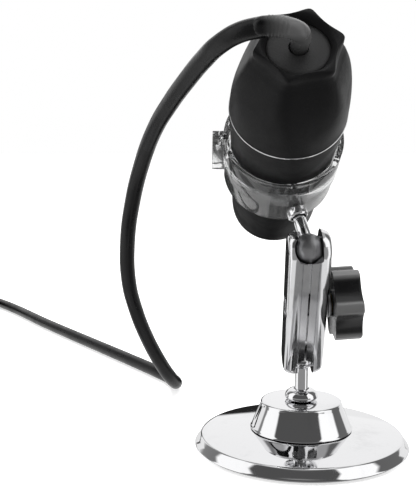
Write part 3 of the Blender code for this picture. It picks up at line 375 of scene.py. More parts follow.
# %% Blanks and cutters
def blank(name, radius, sides):
    """A flat round face, whose outline is then shaped and extruded."""
    return added(name, bpy.ops.mesh.primitive_circle_add, vertices=sides, radius=radius,
                 fill_type="NGON")


def upright_rod(name, radius, low, high, sides):
    """A plain bar along Z, for use as a cutter."""
    piece = added(name, bpy.ops.mesh.primitive_cylinder_add, vertices=sides, radius=radius,
                  depth=high - low, location=(0, 0, (low + high) / 2))
    return settle(piece, piece.matrix_world.copy())


def brick(name, low, high):
    """A box between two corners, for use as a cutter or as a blank."""
    piece = added(name, bpy.ops.mesh.primitive_cube_add, size=1,
                  location=[(a + b) / 2 for a, b in zip(low, high)])
    piece.scale = [b - a for a, b in zip(low, high)]
    bpy.ops.object.transform_apply(location=True, rotation=True, scale=True)
    return piece


# %% [markdown]
# ## The foot
# A pressed chrome plate falls gently outward and ends in a bevel. It sits over an iron weight,
# and a chrome dome and a small collar stand on it. Polished metal shows every facet, so these
# three are turned with many steps and fine rims. The foam pad below is what touches the table.

# %% Disc, dome and collar
GAP = 0.0003
DISC_RADIUS = 0.035
DISC_RIM_BOTTOM = 0.0008
DISC_EDGE = 0.0003
DISC_TOP = 0.0062
DISC_BORE = 0.0125
DISC_WALL = 0.0022
DISC_SKIN = 0.0016
DISC_BEVEL_INNER = 0.0329
DISC_BEVEL_TOP = 0.0042
DISC_BEVEL_MIDDLE = (0.03385, 0.0028)
DISC_BEVEL_FOOT = 0.0013
PLATE_EDGE_FALL = 0.00018
PLATE_CURVE = 1.5
DOME_FOOT_RADIUS = 0.0167
DOME_INNER_FOOT = 0.0142
DOME_TOP_RADIUS = 0.0133
DOME_TOP = 0.0154
DOME_WALL = 0.0018
DOME_ROUND = 0.0009
DOME_SIDE = [(0.01424, 0.0120), (0.01508, 0.0100), (0.01592, 0.0080), (0.0164, 0.0069)]
POST_RADIUS = 0.0022
COLLAR_HEIGHT = 0.0035
COLLAR_SIDE = [(0.0031, 1), (0.0041, 0.90), (0.0050, 0.62), (0.0054, 0.25), (0.0050, 0.05)]

under = DISC_BEVEL_TOP - DISC_SKIN
recess = DISC_RADIUS - DISC_WALL
plate_run = DISC_BEVEL_INNER - DISC_EDGE - DISC_BORE
plate_fall = DISC_TOP - DISC_BEVEL_TOP - PLATE_EDGE_FALL
plate = [(DISC_BORE + share * plate_run, DISC_TOP - plate_fall * share ** PLATE_CURVE)
         for share in np.linspace(0, 1, 32)]
disc = lathe("foot_disc", plate + [
    (DISC_BEVEL_INNER, DISC_BEVEL_TOP),
    (DISC_BEVEL_INNER + 0.0002, DISC_BEVEL_TOP - 0.0002),
    DISC_BEVEL_MIDDLE,
    (DISC_RADIUS - DISC_EDGE, DISC_BEVEL_FOOT + 0.00032),
    (DISC_RADIUS - 0.0001, DISC_BEVEL_FOOT + 0.0001),
    (DISC_RADIUS, DISC_BEVEL_FOOT - 0.0001),
    (DISC_RADIUS, DISC_RIM_BOTTOM + DISC_EDGE),
    (DISC_RADIUS - DISC_EDGE, DISC_RIM_BOTTOM),
    (recess, DISC_RIM_BOTTOM),
    (recess, under),
    (DISC_BORE, under),
], 192, closed=True)
smooth(disc, 50)

dome_foot = DISC_TOP + GAP / 3
bore = POST_RADIUS + GAP
dome = lathe("foot_dome", [(bore, DOME_TOP)] + arc(
    DOME_TOP_RADIUS - DOME_ROUND, DOME_TOP - DOME_ROUND, DOME_ROUND, 90, 12, 8) + flowing([
        (DOME_TOP_RADIUS + 0.0001, DOME_TOP - DOME_ROUND - 0.0004),
        *DOME_SIDE,
        (DOME_FOOT_RADIUS, dome_foot + 0.0002),
    ], 30) + [
        (DOME_FOOT_RADIUS, dome_foot),
        (DOME_INNER_FOOT, dome_foot),
        (DOME_TOP_RADIUS - DOME_WALL, DOME_TOP - DOME_WALL),
        (bore, DOME_TOP - DOME_WALL),
], 160, closed=True)
smooth(dome, 50)

seat = DOME_TOP + GAP
collar = lathe("foot_collar", [(bore, seat + COLLAR_HEIGHT)] + flowing(
    [(radius, seat + COLLAR_HEIGHT * share) for radius, share in COLLAR_SIDE], 16)
    + [(bore, seat)], 96, closed=True)
smooth(collar, 50)

# %% The foam pad under the foot
PAD_THICKNESS = 0.0011
PAD_ROUND = 0.0004
pad_radius = recess - GAP
pad = lathe("foot_pad", [(0, PAD_THICKNESS)]
            + arc(pad_radius - PAD_ROUND, PAD_THICKNESS - PAD_ROUND, PAD_ROUND, 90, 0, 5)
            + arc(pad_radius - PAD_ROUND, PAD_ROUND, PAD_ROUND, 0, -90, 5) + [(0, 0)], 96)
smooth(pad, 50)

# %% [markdown]
# ## Balls and rods
# Each ball is turned from one bar with its rod. The upper one is satin from the jaws that
# rub on it, so it gets a finish of its own later, and only its rod stays polished.

# %% Lower post and upper rod
BALL_RADIUS = 0.0045
ROD_RADIUS = 0.0020
ROD_LENGTH = 0.0124
POST_FLANGE_RADIUS = 0.0040
POST_FLANGE_THICKNESS = 0.0014


def ball_profile(radius, neck_radius, height, up):
    """Half a ball from its pole to where its neck begins, going up or down."""
    end = 180 - math.degrees(math.asin(neck_radius / radius))
    return [(radius * math.sin(a), height + up * radius * math.cos(a))
            for a in map(math.radians, np.linspace(0, end, 28))]


flange_top = DOME_TOP - DOME_WALL - GAP
post = lathe("lower_post", ball_profile(BALL_RADIUS, POST_RADIUS, lower_ball.z, 1) + [
    (POST_RADIUS, flange_top),
    (POST_FLANGE_RADIUS, flange_top),
    (POST_FLANGE_RADIUS, flange_top - POST_FLANGE_THICKNESS),
    (0, flange_top - POST_FLANGE_THICKNESS),
], 64)
soften(post, 0.00015, 2, 60)

upper_rod = lathe("upper_rod", ball_profile(BALL_RADIUS, ROD_RADIUS, 0, -1) + [
    (ROD_RADIUS, ROD_LENGTH - 0.0002), (ROD_RADIUS - 0.0002, ROD_LENGTH), (0, ROD_LENGTH),
], 64)
settle(smooth(upper_rod, 50), rod)

# %% [markdown]
# ## The two jaws
# Each jaw is a long plate with round ends, gripped around both balls. A circle whose halves
# are pulled apart makes its outline. It is extruded to the plate's thickness in steps, so that
# its narrow faces can be crowned: flat chrome would show one tone, and the real jaws show
# upright bands with a thin groove. The outer rim is bevelled round. The seats of the balls,
# the bolt's way and a window toward the upper ball are cut out.

# %% Sizes of the jaws
ARM_SPAN = (upper_ball - lower_ball).length
JAW_INNER = 0.00028
JAW_OUTER = 0.0063
JAW_HALF_WIDTH = 0.0058
JAW_ROUND = 0.0012
JAW_FLAT = 0.0023
JAW_CROWN = 95.0
JAW_GROOVE = 0.00028
GROOVE_ENDS = (0.00205, 0.00225)
JAW_RINGS = (0.0010, 0.0020, 0.00212, 0.00218, 0.00230, 0.0027, 0.0031, 0.0035, 0.0039,
             0.0043)
WINDOW_ROOM = 0.0002
WINDOW_SQUEEZE = 0.84
UPPER_SLOT_HALF_WIDTH = 0.0035
UPPER_SLOT_DEPTH = 0.0009
LOWER_SLOT_HALF_WIDTH = 0.0030
LOWER_SLOT_DEPTH = 0.0042
BOLT_RADIUS = 0.0016
BOLT_HEAD_RADIUS = 0.0036
BOLT_RECESS_DEPTH = 0.0016
SPRING_ROOM_RADIUS = 0.0036
SPRING_ROOM_DEPTH = 0.0033
CUT_OVERRUN = 0.002
ABOUT_ZERO = 1e-7


# %% One jaw and its cutters
def jaw_blank(name, side):
    """A stadium plate, extruded outward in steps, crowned, grooved and rounded at its rim."""
    piece = blank(name, JAW_HALF_WIDTH, 96)
    for vertex in piece.data.vertices:
        y, z = vertex.co.x, vertex.co.y
        vertex.co = (side * JAW_INNER, y, z + (ARM_SPAN if z >= -ABOUT_ZERO else 0))
    start_edit()
    depths = (0.0, *JAW_RINGS, JAW_OUTER - JAW_INNER)
    extrude((side * (far - near), 0, 0) for near, far in zip(depths, depths[1:]))
    bpy.ops.object.mode_set(mode="OBJECT")
    for vertex in piece.data.vertices:
        spine = min(max(vertex.co.z, 0), ARM_SPAN)
        across = abs(vertex.co.x) - JAW_INNER
        sunk = JAW_CROWN * max(0.0, across - JAW_FLAT) ** 2
        sunk += JAW_GROOVE if GROOVE_ENDS[0] < across < GROOVE_ENDS[1] else 0.0
        share = 1 - sunk / JAW_HALF_WIDTH
        vertex.co.y *= share
        vertex.co.z = spine + (vertex.co.z - spine) * share
    # The outer face is still selected here, so only its rim is bevelled
    bpy.ops.object.mode_set(mode="EDIT")
    bpy.ops.mesh.bevel(offset=JAW_ROUND, segments=6, profile=0.5, affect="EDGES")
    end_edit()
    return piece


def ball_cutters(centre, outward, half_width, depth):
    """A cup for the ball, and a slot with an oval end for its rod."""
    cup = lathe("ball_cup", [(r, centre + z) for r, z in
                             ball_profile(BALL_RADIUS + GAP, 0, 0, 1)], 64)
    slot = blank("ball_slot", half_width, 64)
    reach = JAW_HALF_WIDTH + CUT_OVERRUN
    for vertex in slot.data.vertices:
        x, z = vertex.co.x, vertex.co.y
        along = z * depth / half_width if z < -ABOUT_ZERO else reach
        vertex.co = (x, -reach, centre + outward * along)
    start_edit()
    extrude([(0, 2 * reach, 0)])
    end_edit(weld=True)
    return [cup, slot]


def ball_window():
    """An oval window toward the front, through which the whole upper ball shows."""
    window = upright_rod("ball_window", BALL_RADIUS + WINDOW_ROOM, 0, 3 * JAW_HALF_WIDTH, 64)
    for vertex in window.data.vertices:
        vertex.co.x *= WINDOW_SQUEEZE
    forward = arm.to_3x3().inverted() @ (camera.location - upper_ball)
    return settle(window, Matrix.Translation((0, 0, ARM_SPAN)) @ facing(forward))


def bolt_cutter():
    """The bolt's bore through the jaws, the spring's chamber and the recess for its head."""
    bolt_room = BOLT_RADIUS + GAP
    head_room = BOLT_HEAD_RADIUS + GAP
    far = JAW_OUTER + CUT_OVERRUN
    cutter = lathe("bolt_cutter", [
        (0, far),
        (bolt_room, far),
        (bolt_room, SPRING_ROOM_DEPTH),
        (SPRING_ROOM_RADIUS, SPRING_ROOM_DEPTH),
        (SPRING_ROOM_RADIUS, -SPRING_ROOM_DEPTH),
        (bolt_room, -SPRING_ROOM_DEPTH),
        (bolt_room, BOLT_RECESS_DEPTH - JAW_OUTER),
        (head_room, BOLT_RECESS_DEPTH - JAW_OUTER),
        (head_room, -far),
        (0, -far),
    ], 64)
    return settle(cutter, arm.inverted() @ clamp)


# %% Both jaws
jaws = []
for name, side in (("jaw_left", -1), ("jaw_right", 1)):
    jaw = jaw_blank(name, side)
    for cutter in (ball_cutters(0, -1, LOWER_SLOT_HALF_WIDTH, LOWER_SLOT_DEPTH)
                   + ball_cutters(ARM_SPAN, 1, UPPER_SLOT_HALF_WIDTH, UPPER_SLOT_DEPTH)
                   + [ball_window(), bolt_cutter()]):
        combine(jaw, cutter)
    smooth(jaw, 32)
    jaws.append(settle(jaw, arm))

# %% [markdown]
# ## The knob
# The clamp knob has six lobes with round hollows between them, so fingers find a hold. Its
# outline is a circle whose points are moved in wherever a hollow lies. It is extruded, its
# outer rim is bevelled round, and the sunk face and the bore are cut. Its rim has a painted
# highlight.

# %% The knob and its washer
KNOB_RADIUS = 0.0117
KNOB_DEPTH = 0.0083
KNOB_LOBES = 6
KNOB_TURN = math.radians(24.0)
KNOB_HOLLOW_RADIUS = 0.0085
KNOB_HOLLOW_DEPTH = 0.0022
KNOB_ROUND = 0.0006
KNOB_BLEND = 0.00022
KNOB_FACE_RADIUS = 0.0065
KNOB_FACE_DEPTH = 0.0008
KNOB_FACE_EDGE = 0.0004
KNOB_BORE_RADIUS = 0.0035
KNOB_BORE_DEPTH = 0.0060
# Where the painted highlight on the lobes' rim begins, and how fast it grows
KNOB_HIGHLIGHT_FROM = 0.0108
KNOB_HIGHLIGHT_RUN = 0.0006
WASHER_RADIUS = 0.0042
WASHER_THICKNESS = 0.0010
knob_low = JAW_OUTER + 2 * GAP + WASHER_THICKNESS


def knob_outline(angle):
    """Radius of the knob at an angle: the rim, or the wall of the nearest hollow."""
    pitch = 2 * math.pi / KNOB_LOBES
    start = math.radians(270) + KNOB_TURN + pitch / 2
    off = (angle - start + pitch / 2) % pitch - pitch / 2
    reach = KNOB_RADIUS - KNOB_HOLLOW_DEPTH + KNOB_HOLLOW_RADIUS
    inside = KNOB_HOLLOW_RADIUS ** 2 - (reach * math.sin(off)) ** 2
    if inside <= 0:
        return KNOB_RADIUS
    wall = reach * math.cos(off) - math.sqrt(inside)
    # A smooth minimum of the wall and the rim rounds the edge where they meet
    return -KNOB_BLEND * math.log(math.exp(-wall / KNOB_BLEND)
                                  + math.exp(-KNOB_RADIUS / KNOB_BLEND))


knob = blank("knob_lobed", KNOB_RADIUS, 216)
for vertex in knob.data.vertices:
    angle = math.atan2(vertex.co.y, vertex.co.x)
    radius = knob_outline(angle)
    vertex.co = (radius * math.cos(angle), radius * math.sin(angle), knob_low)
start_edit()
extrude([(0, 0, KNOB_DEPTH)])
bpy.ops.mesh.bevel(offset=KNOB_ROUND, segments=4, profile=0.5, affect="EDGES")
end_edit()
knob_high = knob_low + KNOB_DEPTH
face_low = knob_high - KNOB_FACE_DEPTH
combine(knob, lathe("knob_face", [
    (0, face_low),
    (KNOB_FACE_RADIUS - KNOB_FACE_EDGE, face_low),
    (KNOB_FACE_RADIUS, face_low + KNOB_FACE_EDGE),
    (KNOB_FACE_RADIUS + KNOB_FACE_EDGE, knob_high + CUT_OVERRUN),
    (0, knob_high + CUT_OVERRUN)], 96))
combine(knob, upright_rod("knob_bore", KNOB_BORE_RADIUS, knob_low - CUT_OVERRUN,
                          knob_low + KNOB_BORE_DEPTH, 64))
smooth(knob)
# Painted highlight: the lobes' outer rim is painted pale, standing in for the light that glossy
# crests catch
mark_painted_highlight(knob, lambda place: clamped((place.xy.length - KNOB_HIGHLIGHT_FROM) / KNOB_HIGHLIGHT_RUN))
settle(knob, clamp)
washer = lathe("knob_washer_turned", ring_section(
    BOLT_RADIUS + GAP, WASHER_RADIUS, JAW_OUTER + GAP, JAW_OUTER + GAP + WASHER_THICKNESS),
    64, closed=True)
settle(soften(washer, 0.0002), clamp)

# %% [markdown]
# ## The clear ring
# A split ring of clear plastic grips the barrel. It has a step halfway down and two ears
# beside the split, where a screw could pull it tight. Clear plastic shows both of its
# surfaces, so it is a real ring with a real wall, not a sheet.

# %% Ring, ears and split
RING_RADIUS = 0.0176
RING_WALL = 0.0016
RING_LOWER_STEP = 0.0007
RING_TOP = 0.0132
RING_STEP = 0.0020
RING_BOTTOM = -0.0065
RING_SPLIT = 0.0016
RING_SPLIT_ANGLE = math.radians(167.0)
EAR_THICKNESS = 0.0016
EAR_REACH = 0.0031
EAR_BOTTOM = -0.0010
EAR_BELOW_TOP = 0.0004
ring_bore = RING_RADIUS - RING_WALL
ring_lower = RING_RADIUS - RING_LOWER_STEP

ring = lathe("ring_clear", [
    (ring_bore, RING_TOP),
    (RING_RADIUS, RING_TOP),
    (RING_RADIUS, RING_STEP),
    (ring_lower, RING_STEP - RING_LOWER_STEP),
    (ring_lower, RING_BOTTOM),
    (ring_bore, RING_BOTTOM),
], 144, closed=True)
turn_split = Matrix.Rotation(RING_SPLIT_ANGLE, 4, "Z")
ear_half = RING_SPLIT / 2 + EAR_THICKNESS
ears = brick("ring_ears", ((ring_bore + ring_lower) / 2, -ear_half, EAR_BOTTOM),
             (RING_RADIUS + EAR_REACH, ear_half, RING_TOP - EAR_BELOW_TOP))
combine(ring, settle(ears, turn_split), "UNION")
split = brick("ring_split",
              (ring_bore - CUT_OVERRUN, -RING_SPLIT / 2, RING_BOTTOM - CUT_OVERRUN),
              (RING_RADIUS + EAR_REACH + CUT_OVERRUN, RING_SPLIT / 2, RING_TOP + CUT_OVERRUN))
combine(ring, settle(split, turn_split))
soften(ring, 0.00035, 3, 30)
settle(ring, scope)

# %% [markdown]
# ## The housing
# The tail of the housing is one moulded shell. Six long finger scoops run into its end and
# leave lobes between them with soft ridges. Cutting with cylinders would leave hard ridges,
# so each point of the turned shell is moved in to the nearest scoop instead. The ridges
# between scoops are rounded, and a smooth minimum blends each scoop into the shell.

# %% The tail of the housing
TAIL_END = 0.05526
TAIL_LOBE_RADIUS = 0.00986
TAIL_CORNER_RADIUS = 0.0127
TAIL_CORNER_STATION = 0.0547
SHOULDER_RADIUS = 0.01425
SHOULDER_STATION = 0.0495
HIP_RADIUS = 0.01547
HIP_STATION = 0.0445
BELLY_RADIUS = 0.01627
BELLY_STATION = 0.0370
SEAM_RADIUS = 0.0165
SEAM_STATION = 0.0275
SHELL_WALL = 0.0015
TRIM_WIDTH = 0.0005
TRIM_PROUD = 0.0001
CAP_RADIUS = 0.0084
CAP_FACE = 0.0532
CAP_THICKNESS = 0.0013
CAP_BORE = 0.0026
LEDGE_WIDTH = 0.0012
SCOOP_COUNT = 6
SCOOP_FIRST_ANGLE = math.radians(29.4)
SCOOP_RADIUS = 0.0145
SCOOP_TAIL_RADIUS = 0.00923
SCOOP_TAIL_STATION = 0.0560
SCOOP_FRONT_RADIUS = 0.0172
SCOOP_FRONT_STATION = 0.0393
RIDGE_SOFTNESS = 0.0006
RIDGE_SOFTER = 0.0019
RIDGE_FADE_STATION = 0.0528
RIDGE_ROUND = 0.085
RIDGE_ROUNDER = 0.06
RIDGE_ROUND_RUN = 0.0035

rear_bottom = SEAM_STATION + TRIM_WIDTH / 2 + GAP / 3
cap_hole = CAP_RADIUS + 0.0001
ledge = CAP_FACE - CAP_THICKNESS - GAP
outside = flowing([
    (cap_hole + SHELL_WALL / 2, TAIL_END - SHELL_WALL / 3),
    (TAIL_LOBE_RADIUS, TAIL_END),
    ((TAIL_LOBE_RADIUS + TAIL_CORNER_RADIUS) / 2, TAIL_END),
    (TAIL_CORNER_RADIUS, TAIL_CORNER_STATION),
    (SHOULDER_RADIUS - SHELL_WALL / 2, SHOULDER_STATION + SHELL_WALL),
    (SHOULDER_RADIUS, SHOULDER_STATION),
    (HIP_RADIUS, HIP_STATION),
    (BELLY_RADIUS, BELLY_STATION),
    (SEAM_RADIUS, rear_bottom),
], 64)
inside_radius = SEAM_RADIUS - SHELL_WALL
tail = lathe("housing_tail", [(cap_hole, CAP_FACE)] + outside + [
    (inside_radius, rear_bottom),
    (inside_radius, BELLY_STATION),
    (HIP_RADIUS - SHELL_WALL - GAP, HIP_STATION - SHELL_WALL),
    (0.0118, 0.0470),
    (CAP_RADIUS - LEDGE_WIDTH, ledge - LEDGE_WIDTH),
    (CAP_RADIUS - LEDGE_WIDTH, ledge),
    (cap_hole, ledge),
], 288, closed=True)


# %% Carve the finger scoops
def scoop_wall(angle, station):
    """Distance from the axis to the nearest scoop along one direction, or a far one."""
    slope = ((SCOOP_FRONT_RADIUS - SCOOP_TAIL_RADIUS)
             / (SCOOP_TAIL_STATION - SCOOP_FRONT_STATION))
    pitch = 2 * math.pi / SCOOP_COUNT
    off = (angle - SCOOP_FIRST_ANGLE + pitch / 2) % pitch - pitch / 2
    down = clamped((TAIL_CORNER_STATION - station) / RIDGE_ROUND_RUN)
    off = pitch / 2 - math.hypot(pitch / 2 - abs(off), RIDGE_ROUND + RIDGE_ROUNDER * down)
    floor_radius = SCOOP_TAIL_RADIUS + (SCOOP_TAIL_STATION - station) * slope
    # The scoop's section across the axis is an ellipse, as its cylinder is tilted
    long_half = SCOOP_RADIUS / math.cos(math.atan(slope))
    centre = floor_radius + long_half
    a = (math.cos(off) / long_half) ** 2 + (math.sin(off) / SCOOP_RADIUS) ** 2
    b = -2 * centre * math.cos(off) / long_half ** 2
    c = (centre / long_half) ** 2 - 1
    inside = b * b - 4 * a * c
    return (-b - math.sqrt(inside)) / (2 * a) if inside > 0 else 1.0


for vertex in tail.data.vertices:
    radius = math.hypot(vertex.co.x, vertex.co.y)
    wall = scoop_wall(math.atan2(vertex.co.y, vertex.co.x), vertex.co.z)
    faded = (TAIL_CORNER_STATION - vertex.co.z) / (TAIL_CORNER_STATION - RIDGE_FADE_STATION)
    give = RIDGE_SOFTNESS + (RIDGE_SOFTER - RIDGE_SOFTNESS) * clamped(faded)
    if wall - radius < 8 * give:
        soft = -give * math.log(math.exp((radius - wall) / give) + 1) + radius
        vertex.co.x *= soft / radius
        vertex.co.y *= soft / radius

BUTTON_RADIUS = 0.0034
BUTTON_STATION = 0.0360
BUTTON_PROUD = 0.0006
BUTTON_ROUND = 0.0006
side_on = (Matrix.Translation((0, 0, BUTTON_STATION))
           @ Matrix.Rotation(math.radians(-90), 4, "X"))
combine(tail, settle(upright_rod("button_bore", BUTTON_RADIUS + GAP, 0, 0.02, 64), side_on))
settle(smooth(tail, 48), scope)

# %% [markdown]
# ## Cap, trim, front half and nose
# The remaining pieces of the housing are plain turned forms. What makes them read as moulded
# plastic is the small round on each rim and the dark line where one piece meets the next.

# %% Tail cap and trim line
cap = lathe("tail_cap", [(CAP_BORE, CAP_FACE + 0.0003)] + flowing([
    (0.0032, CAP_FACE + 0.0003),
    (CAP_RADIUS * 0.6, CAP_FACE + 0.0002),
    (CAP_RADIUS - 0.0008, CAP_FACE),
    (CAP_RADIUS - 0.0002, CAP_FACE - 0.0003),
    (CAP_RADIUS, CAP_FACE - 0.0007),
], 14) + [
    (CAP_RADIUS, CAP_FACE - CAP_THICKNESS),
    (CAP_BORE, CAP_FACE - CAP_THICKNESS),
], 128, closed=True)
settle(smooth(cap, 50), scope)

half_trim = TRIM_WIDTH / 2
trim = lathe("trim_line", ring_section(inside_radius, SEAM_RADIUS + TRIM_PROUD,
                                       SEAM_STATION - half_trim, SEAM_STATION + half_trim),
             192, closed=True)
settle(soften(trim, 0.0001), scope)

# %% Front half
FRONT_END_RADIUS = 0.0147
FRONT_END = -0.0075
FRONT_EDGE = 0.0006
FRONT_BORE = 0.0131
front_top = SEAM_STATION - half_trim - GAP / 3
front = lathe("housing_front", [
    (FRONT_BORE, front_top),
    (SEAM_RADIUS, front_top)] + flowing([
        (SEAM_RADIUS, front_top - 0.0004),
        (0.0161, 0.0200),
        (0.0155, RING_TOP),
        (0.0151, 0.0030),
        (FRONT_END_RADIUS, FRONT_END + FRONT_EDGE),
    ], 18) + [
        (FRONT_END_RADIUS - FRONT_EDGE, FRONT_END),
        (FRONT_BORE, FRONT_END),
], 144, closed=True)
settle(soften(front, 0.0002, 2, 40), scope)

# %% Focus nose
NOSE_END = -0.0300
NOSE_BORE = 0.0121
NOSE_LIP = 0.0010
nose_top = FRONT_END - GAP
nose = lathe("focus_nose", [
    (NOSE_BORE, nose_top),
    (0.0140, nose_top)] + flowing([
        (0.0146, nose_top - 0.0006),
        (0.0144, -0.0140),
        (0.0139, -0.0200),
        (0.0135, -0.0260),
        (0.0130, -0.0288),
        (0.0124, NOSE_END),
    ], 20) + [
        (0.0108, NOSE_END),
        (0.0108, NOSE_END + NOSE_LIP),
        (NOSE_BORE, NOSE_END + NOSE_LIP),
], 128, closed=True)
settle(soften(nose, 0.0002, 2, 40), scope)

# %% Snapshot button
button_top = BELLY_RADIUS + BUTTON_PROUD
button = lathe("snapshot_button", [(0, button_top)] + arc(
    BUTTON_RADIUS - BUTTON_ROUND, button_top - 0.0008, BUTTON_ROUND, 90, 0, 5) + [
        (BUTTON_RADIUS, 0.0128),
        (0.0046, 0.0128),
        (0.0046, 0.0119),
        (0.0014, 0.0119),
        (0.0014, 0.0102),
        (0, 0.0102),
], 72)
settle(settle(smooth(button, 50), side_on), scope)

# %% [markdown]
# ## Strain relief
# Where the cord leaves the tail, a soft sleeve with low ribs keeps it from kinking. A curve
# carries a radius at each of its points, so the ribs are written as swellings along it, and
# the curve is then converted to a mesh. Its middle has a painted pale highlight for its gloss.

# %% The ribbed sleeve
SLEEVE_RADIUS = 0.0023
SLEEVE_FOOT_DEPTH = 0.0010
SLEEVE_OVERLAP = 0.0016
SLEEVE_PROUD = 0.0001
SLEEVE_TAPER = 0.18
SLEEVE_RIBS = 12
SLEEVE_RIB = 0.00009
RIBBED_FROM = 0.62
RIBBED_TO = 0.88
# Where the painted highlight along the sleeve fades in and out
HIGHLIGHT_IN = 0.25
HIGHLIGHT_OUT = 0.92
HIGHLIGHT_OUT_RUN = 0.30
sleeve_foot = scope @ Vector((0, 0, CAP_FACE - SLEEVE_FOOT_DEPTH))
onward = (cord_points[1] - cord_points[0]).normalized() * SLEEVE_OVERLAP
sleeve_line = flowing([sleeve_foot] + sleeve_points[1:] + [sleeve_points[-1] + onward],
                      12 * SLEEVE_RIBS)
last = len(sleeve_line) - 1
sleeve_curve, sleeve_spline = round_curve("cord_sleeve", "POLY", SLEEVE_RADIUS, 10)
sleeve_spline.points.add(last)
for i, point in enumerate(sleeve_line):
    t = i / last
    taper = min(1, (1 - t) / SLEEVE_TAPER)
    grown = CORD_RADIUS - SLEEVE_PROUD + 2 * SLEEVE_PROUD * taper - SLEEVE_RADIUS
    ribbed = RIBBED_FROM < t < RIBBED_TO and i % 6 < 4
    sleeve_spline.points[i].co = (*point, 1)
    sleeve_spline.points[i].radius = (1 + t * grown / SLEEVE_RADIUS
                                      + (SLEEVE_RIB / SLEEVE_RADIUS if ribbed else 0))
only(linked("cord_sleeve", sleeve_curve))
bpy.ops.object.convert(target="MESH")
sleeve = smooth(bpy.context.active_object, 50)
centreline = np.array(sleeve_line)


def sleeve_highlight(place):
    """How much painted highlight the sleeve gets: fully over its middle, and none at its two
    ends.
    """
    t = np.argmin(np.linalg.norm(centreline - np.array(place), axis=1)) / last
    return clamped((HIGHLIGHT_OUT - t) / HIGHLIGHT_OUT_RUN) * clamped(t / HIGHLIGHT_IN)


# Painted highlight: the sleeve's middle is painted paler, standing in for the gloss it catches
mark_painted_highlight(sleeve, sleeve_highlight)

# %% [markdown]
# ## Tie and plug
# A soft band holds the coil, and the lead ends in a flat plug. Both lie out of the picture,
# and they are still finished pieces, because the object is looked at from every side.

# %% The tie round the coil
TIE_THICKNESS = 0.0005
TIE_WIDTH = 0.0040
TIE_TURNS_ON = 0.78
tie_angle = COIL_START_ANGLE + 2 * math.pi * TIE_TURNS_ON
tie_outer = COIL_OUTER_RADIUS + CORD_RADIUS + GAP
tie_inner = (COIL_OUTER_RADIUS - COIL_PITCH * (COIL_TURNS_IN + COIL_CROSSING / 2)
             - CORD_RADIUS - GAP)
tie_high = COIL_LIFT + 2 * CORD_RADIUS + COIL_PITCH + GAP
tie = brick("coil_tie", (tie_inner - TIE_THICKNESS, -TIE_WIDTH / 2, 0),
            (tie_outer + TIE_THICKNESS, TIE_WIDTH / 2, tie_high + TIE_THICKNESS))
combine(tie, brick("tie_hollow", (tie_inner, -TIE_WIDTH, TIE_THICKNESS),
                   (tie_outer, TIE_WIDTH, tie_high)))
soften(tie, 0.0004, 3, 60)
settle(tie, Matrix.Translation((*COIL_CENTRE, 0)) @ Matrix.Rotation(tie_angle, 4, "Z"))

# %% The plug's neck and grip
PLUG_WIDTH = 0.0156
PLUG_LENGTH = 0.030
PLUG_NECK_LENGTH = 0.0100
PLUG_ROUND = 0.0016
NECK_RIBS = 6
NECK_PITCH = 0.0014
NECK_GROOVE = 0.0003
GRIP_GROOVES = 5
GRIP_PITCH = 0.0024
GRIP_GROOVE_DEPTH = 0.0006
GRIP_GROOVE_WIDTH = 0.0010
POCKET_HALF = (0.0060 + GAP, 0.00225 + GAP)
POCKET_START = 0.024
plug_start = tail_points[-1] + leaving * GAP
plug = Matrix.Translation(plug_start) @ facing(leaving)
neck_line = [(0, 0), (0.0029, 0)]
for i in range(NECK_RIBS):
    station = 0.0008 + i * NECK_PITCH
    wide = 0.0030 + i * 0.0001
    narrow = wide - NECK_GROOVE
    neck_line += [(wide, station), (wide, station + 0.0008), (narrow, station + 0.0009),
                  (narrow, station + 0.0013)]
neck = lathe("plug_neck_ribbed", neck_line + [(0.0036, PLUG_NECK_LENGTH - GAP),
                                              (0, PLUG_NECK_LENGTH - GAP)], 64)
settle(smooth(neck, 50), plug)

grip = brick("plug_grip_moulded", (-PLUG_WIDTH / 2, -PLUG_HEIGHT / 2, PLUG_NECK_LENGTH),
             (PLUG_WIDTH / 2, PLUG_HEIGHT / 2, PLUG_NECK_LENGTH + PLUG_LENGTH))
soften(grip, PLUG_ROUND, 6, 60)
for side in (-1, 1):
    for i in range(GRIP_GROOVES):
        station = PLUG_NECK_LENGTH + 0.008 + i * GRIP_PITCH
        flank = side * PLUG_WIDTH / 2
        combine(grip, brick(
            "grip_groove", (flank - GRIP_GROOVE_DEPTH, -PLUG_HEIGHT, station),
            (flank + GRIP_GROOVE_DEPTH, PLUG_HEIGHT, station + GRIP_GROOVE_WIDTH)))
combine(grip, brick(
    "plug_pocket", (-POCKET_HALF[0], -POCKET_HALF[1], PLUG_NECK_LENGTH + POCKET_START),
    (*POCKET_HALF, PLUG_NECK_LENGTH + PLUG_LENGTH + CUT_OVERRUN)))
settle(smooth(grip, 40), plug)

# %% [markdown]
# ## Finishes
# A finish is more than a colour. Polished chrome has faint wiping marks, moulded plastic has
# a fine grain and a little dust, and a painted pale highlight lies on the sleeve and the knob's
# rim.
# Effects that more than one finish uses are node groups, built once here and placed with their
# own values. They read Object coordinates, so that a pattern stays with its piece when the piece
# moves.

# %% Values that finishes share
GRAIN_SCALE = 2600.0
GRAIN_HEIGHT = 0.0001
STREAK_SCALE = 70.0
DUST_COLOUR = (0.42, 0.41, 0.39)
# Grey levels of the painted highlights on the knob's rim and the sleeve's middle
KNOB_PAINTED_HIGHLIGHT = 0.24
SLEEVE_PAINTED_HIGHLIGHT = 0.19

# %% Helpers for nodes
def fill(tree, node, **inputs):
    """Fills inputs of a node by their labels, each with a value or from a node's output."""
    for label, value in inputs.items():
        feed(tree, node.inputs[label.replace("_", " ")], value)


def feed(tree, socket, value):
    if isinstance(value, bpy.types.NodeSocket):
        tree.links.new(value, socket)
    else:
        socket.default_value = value


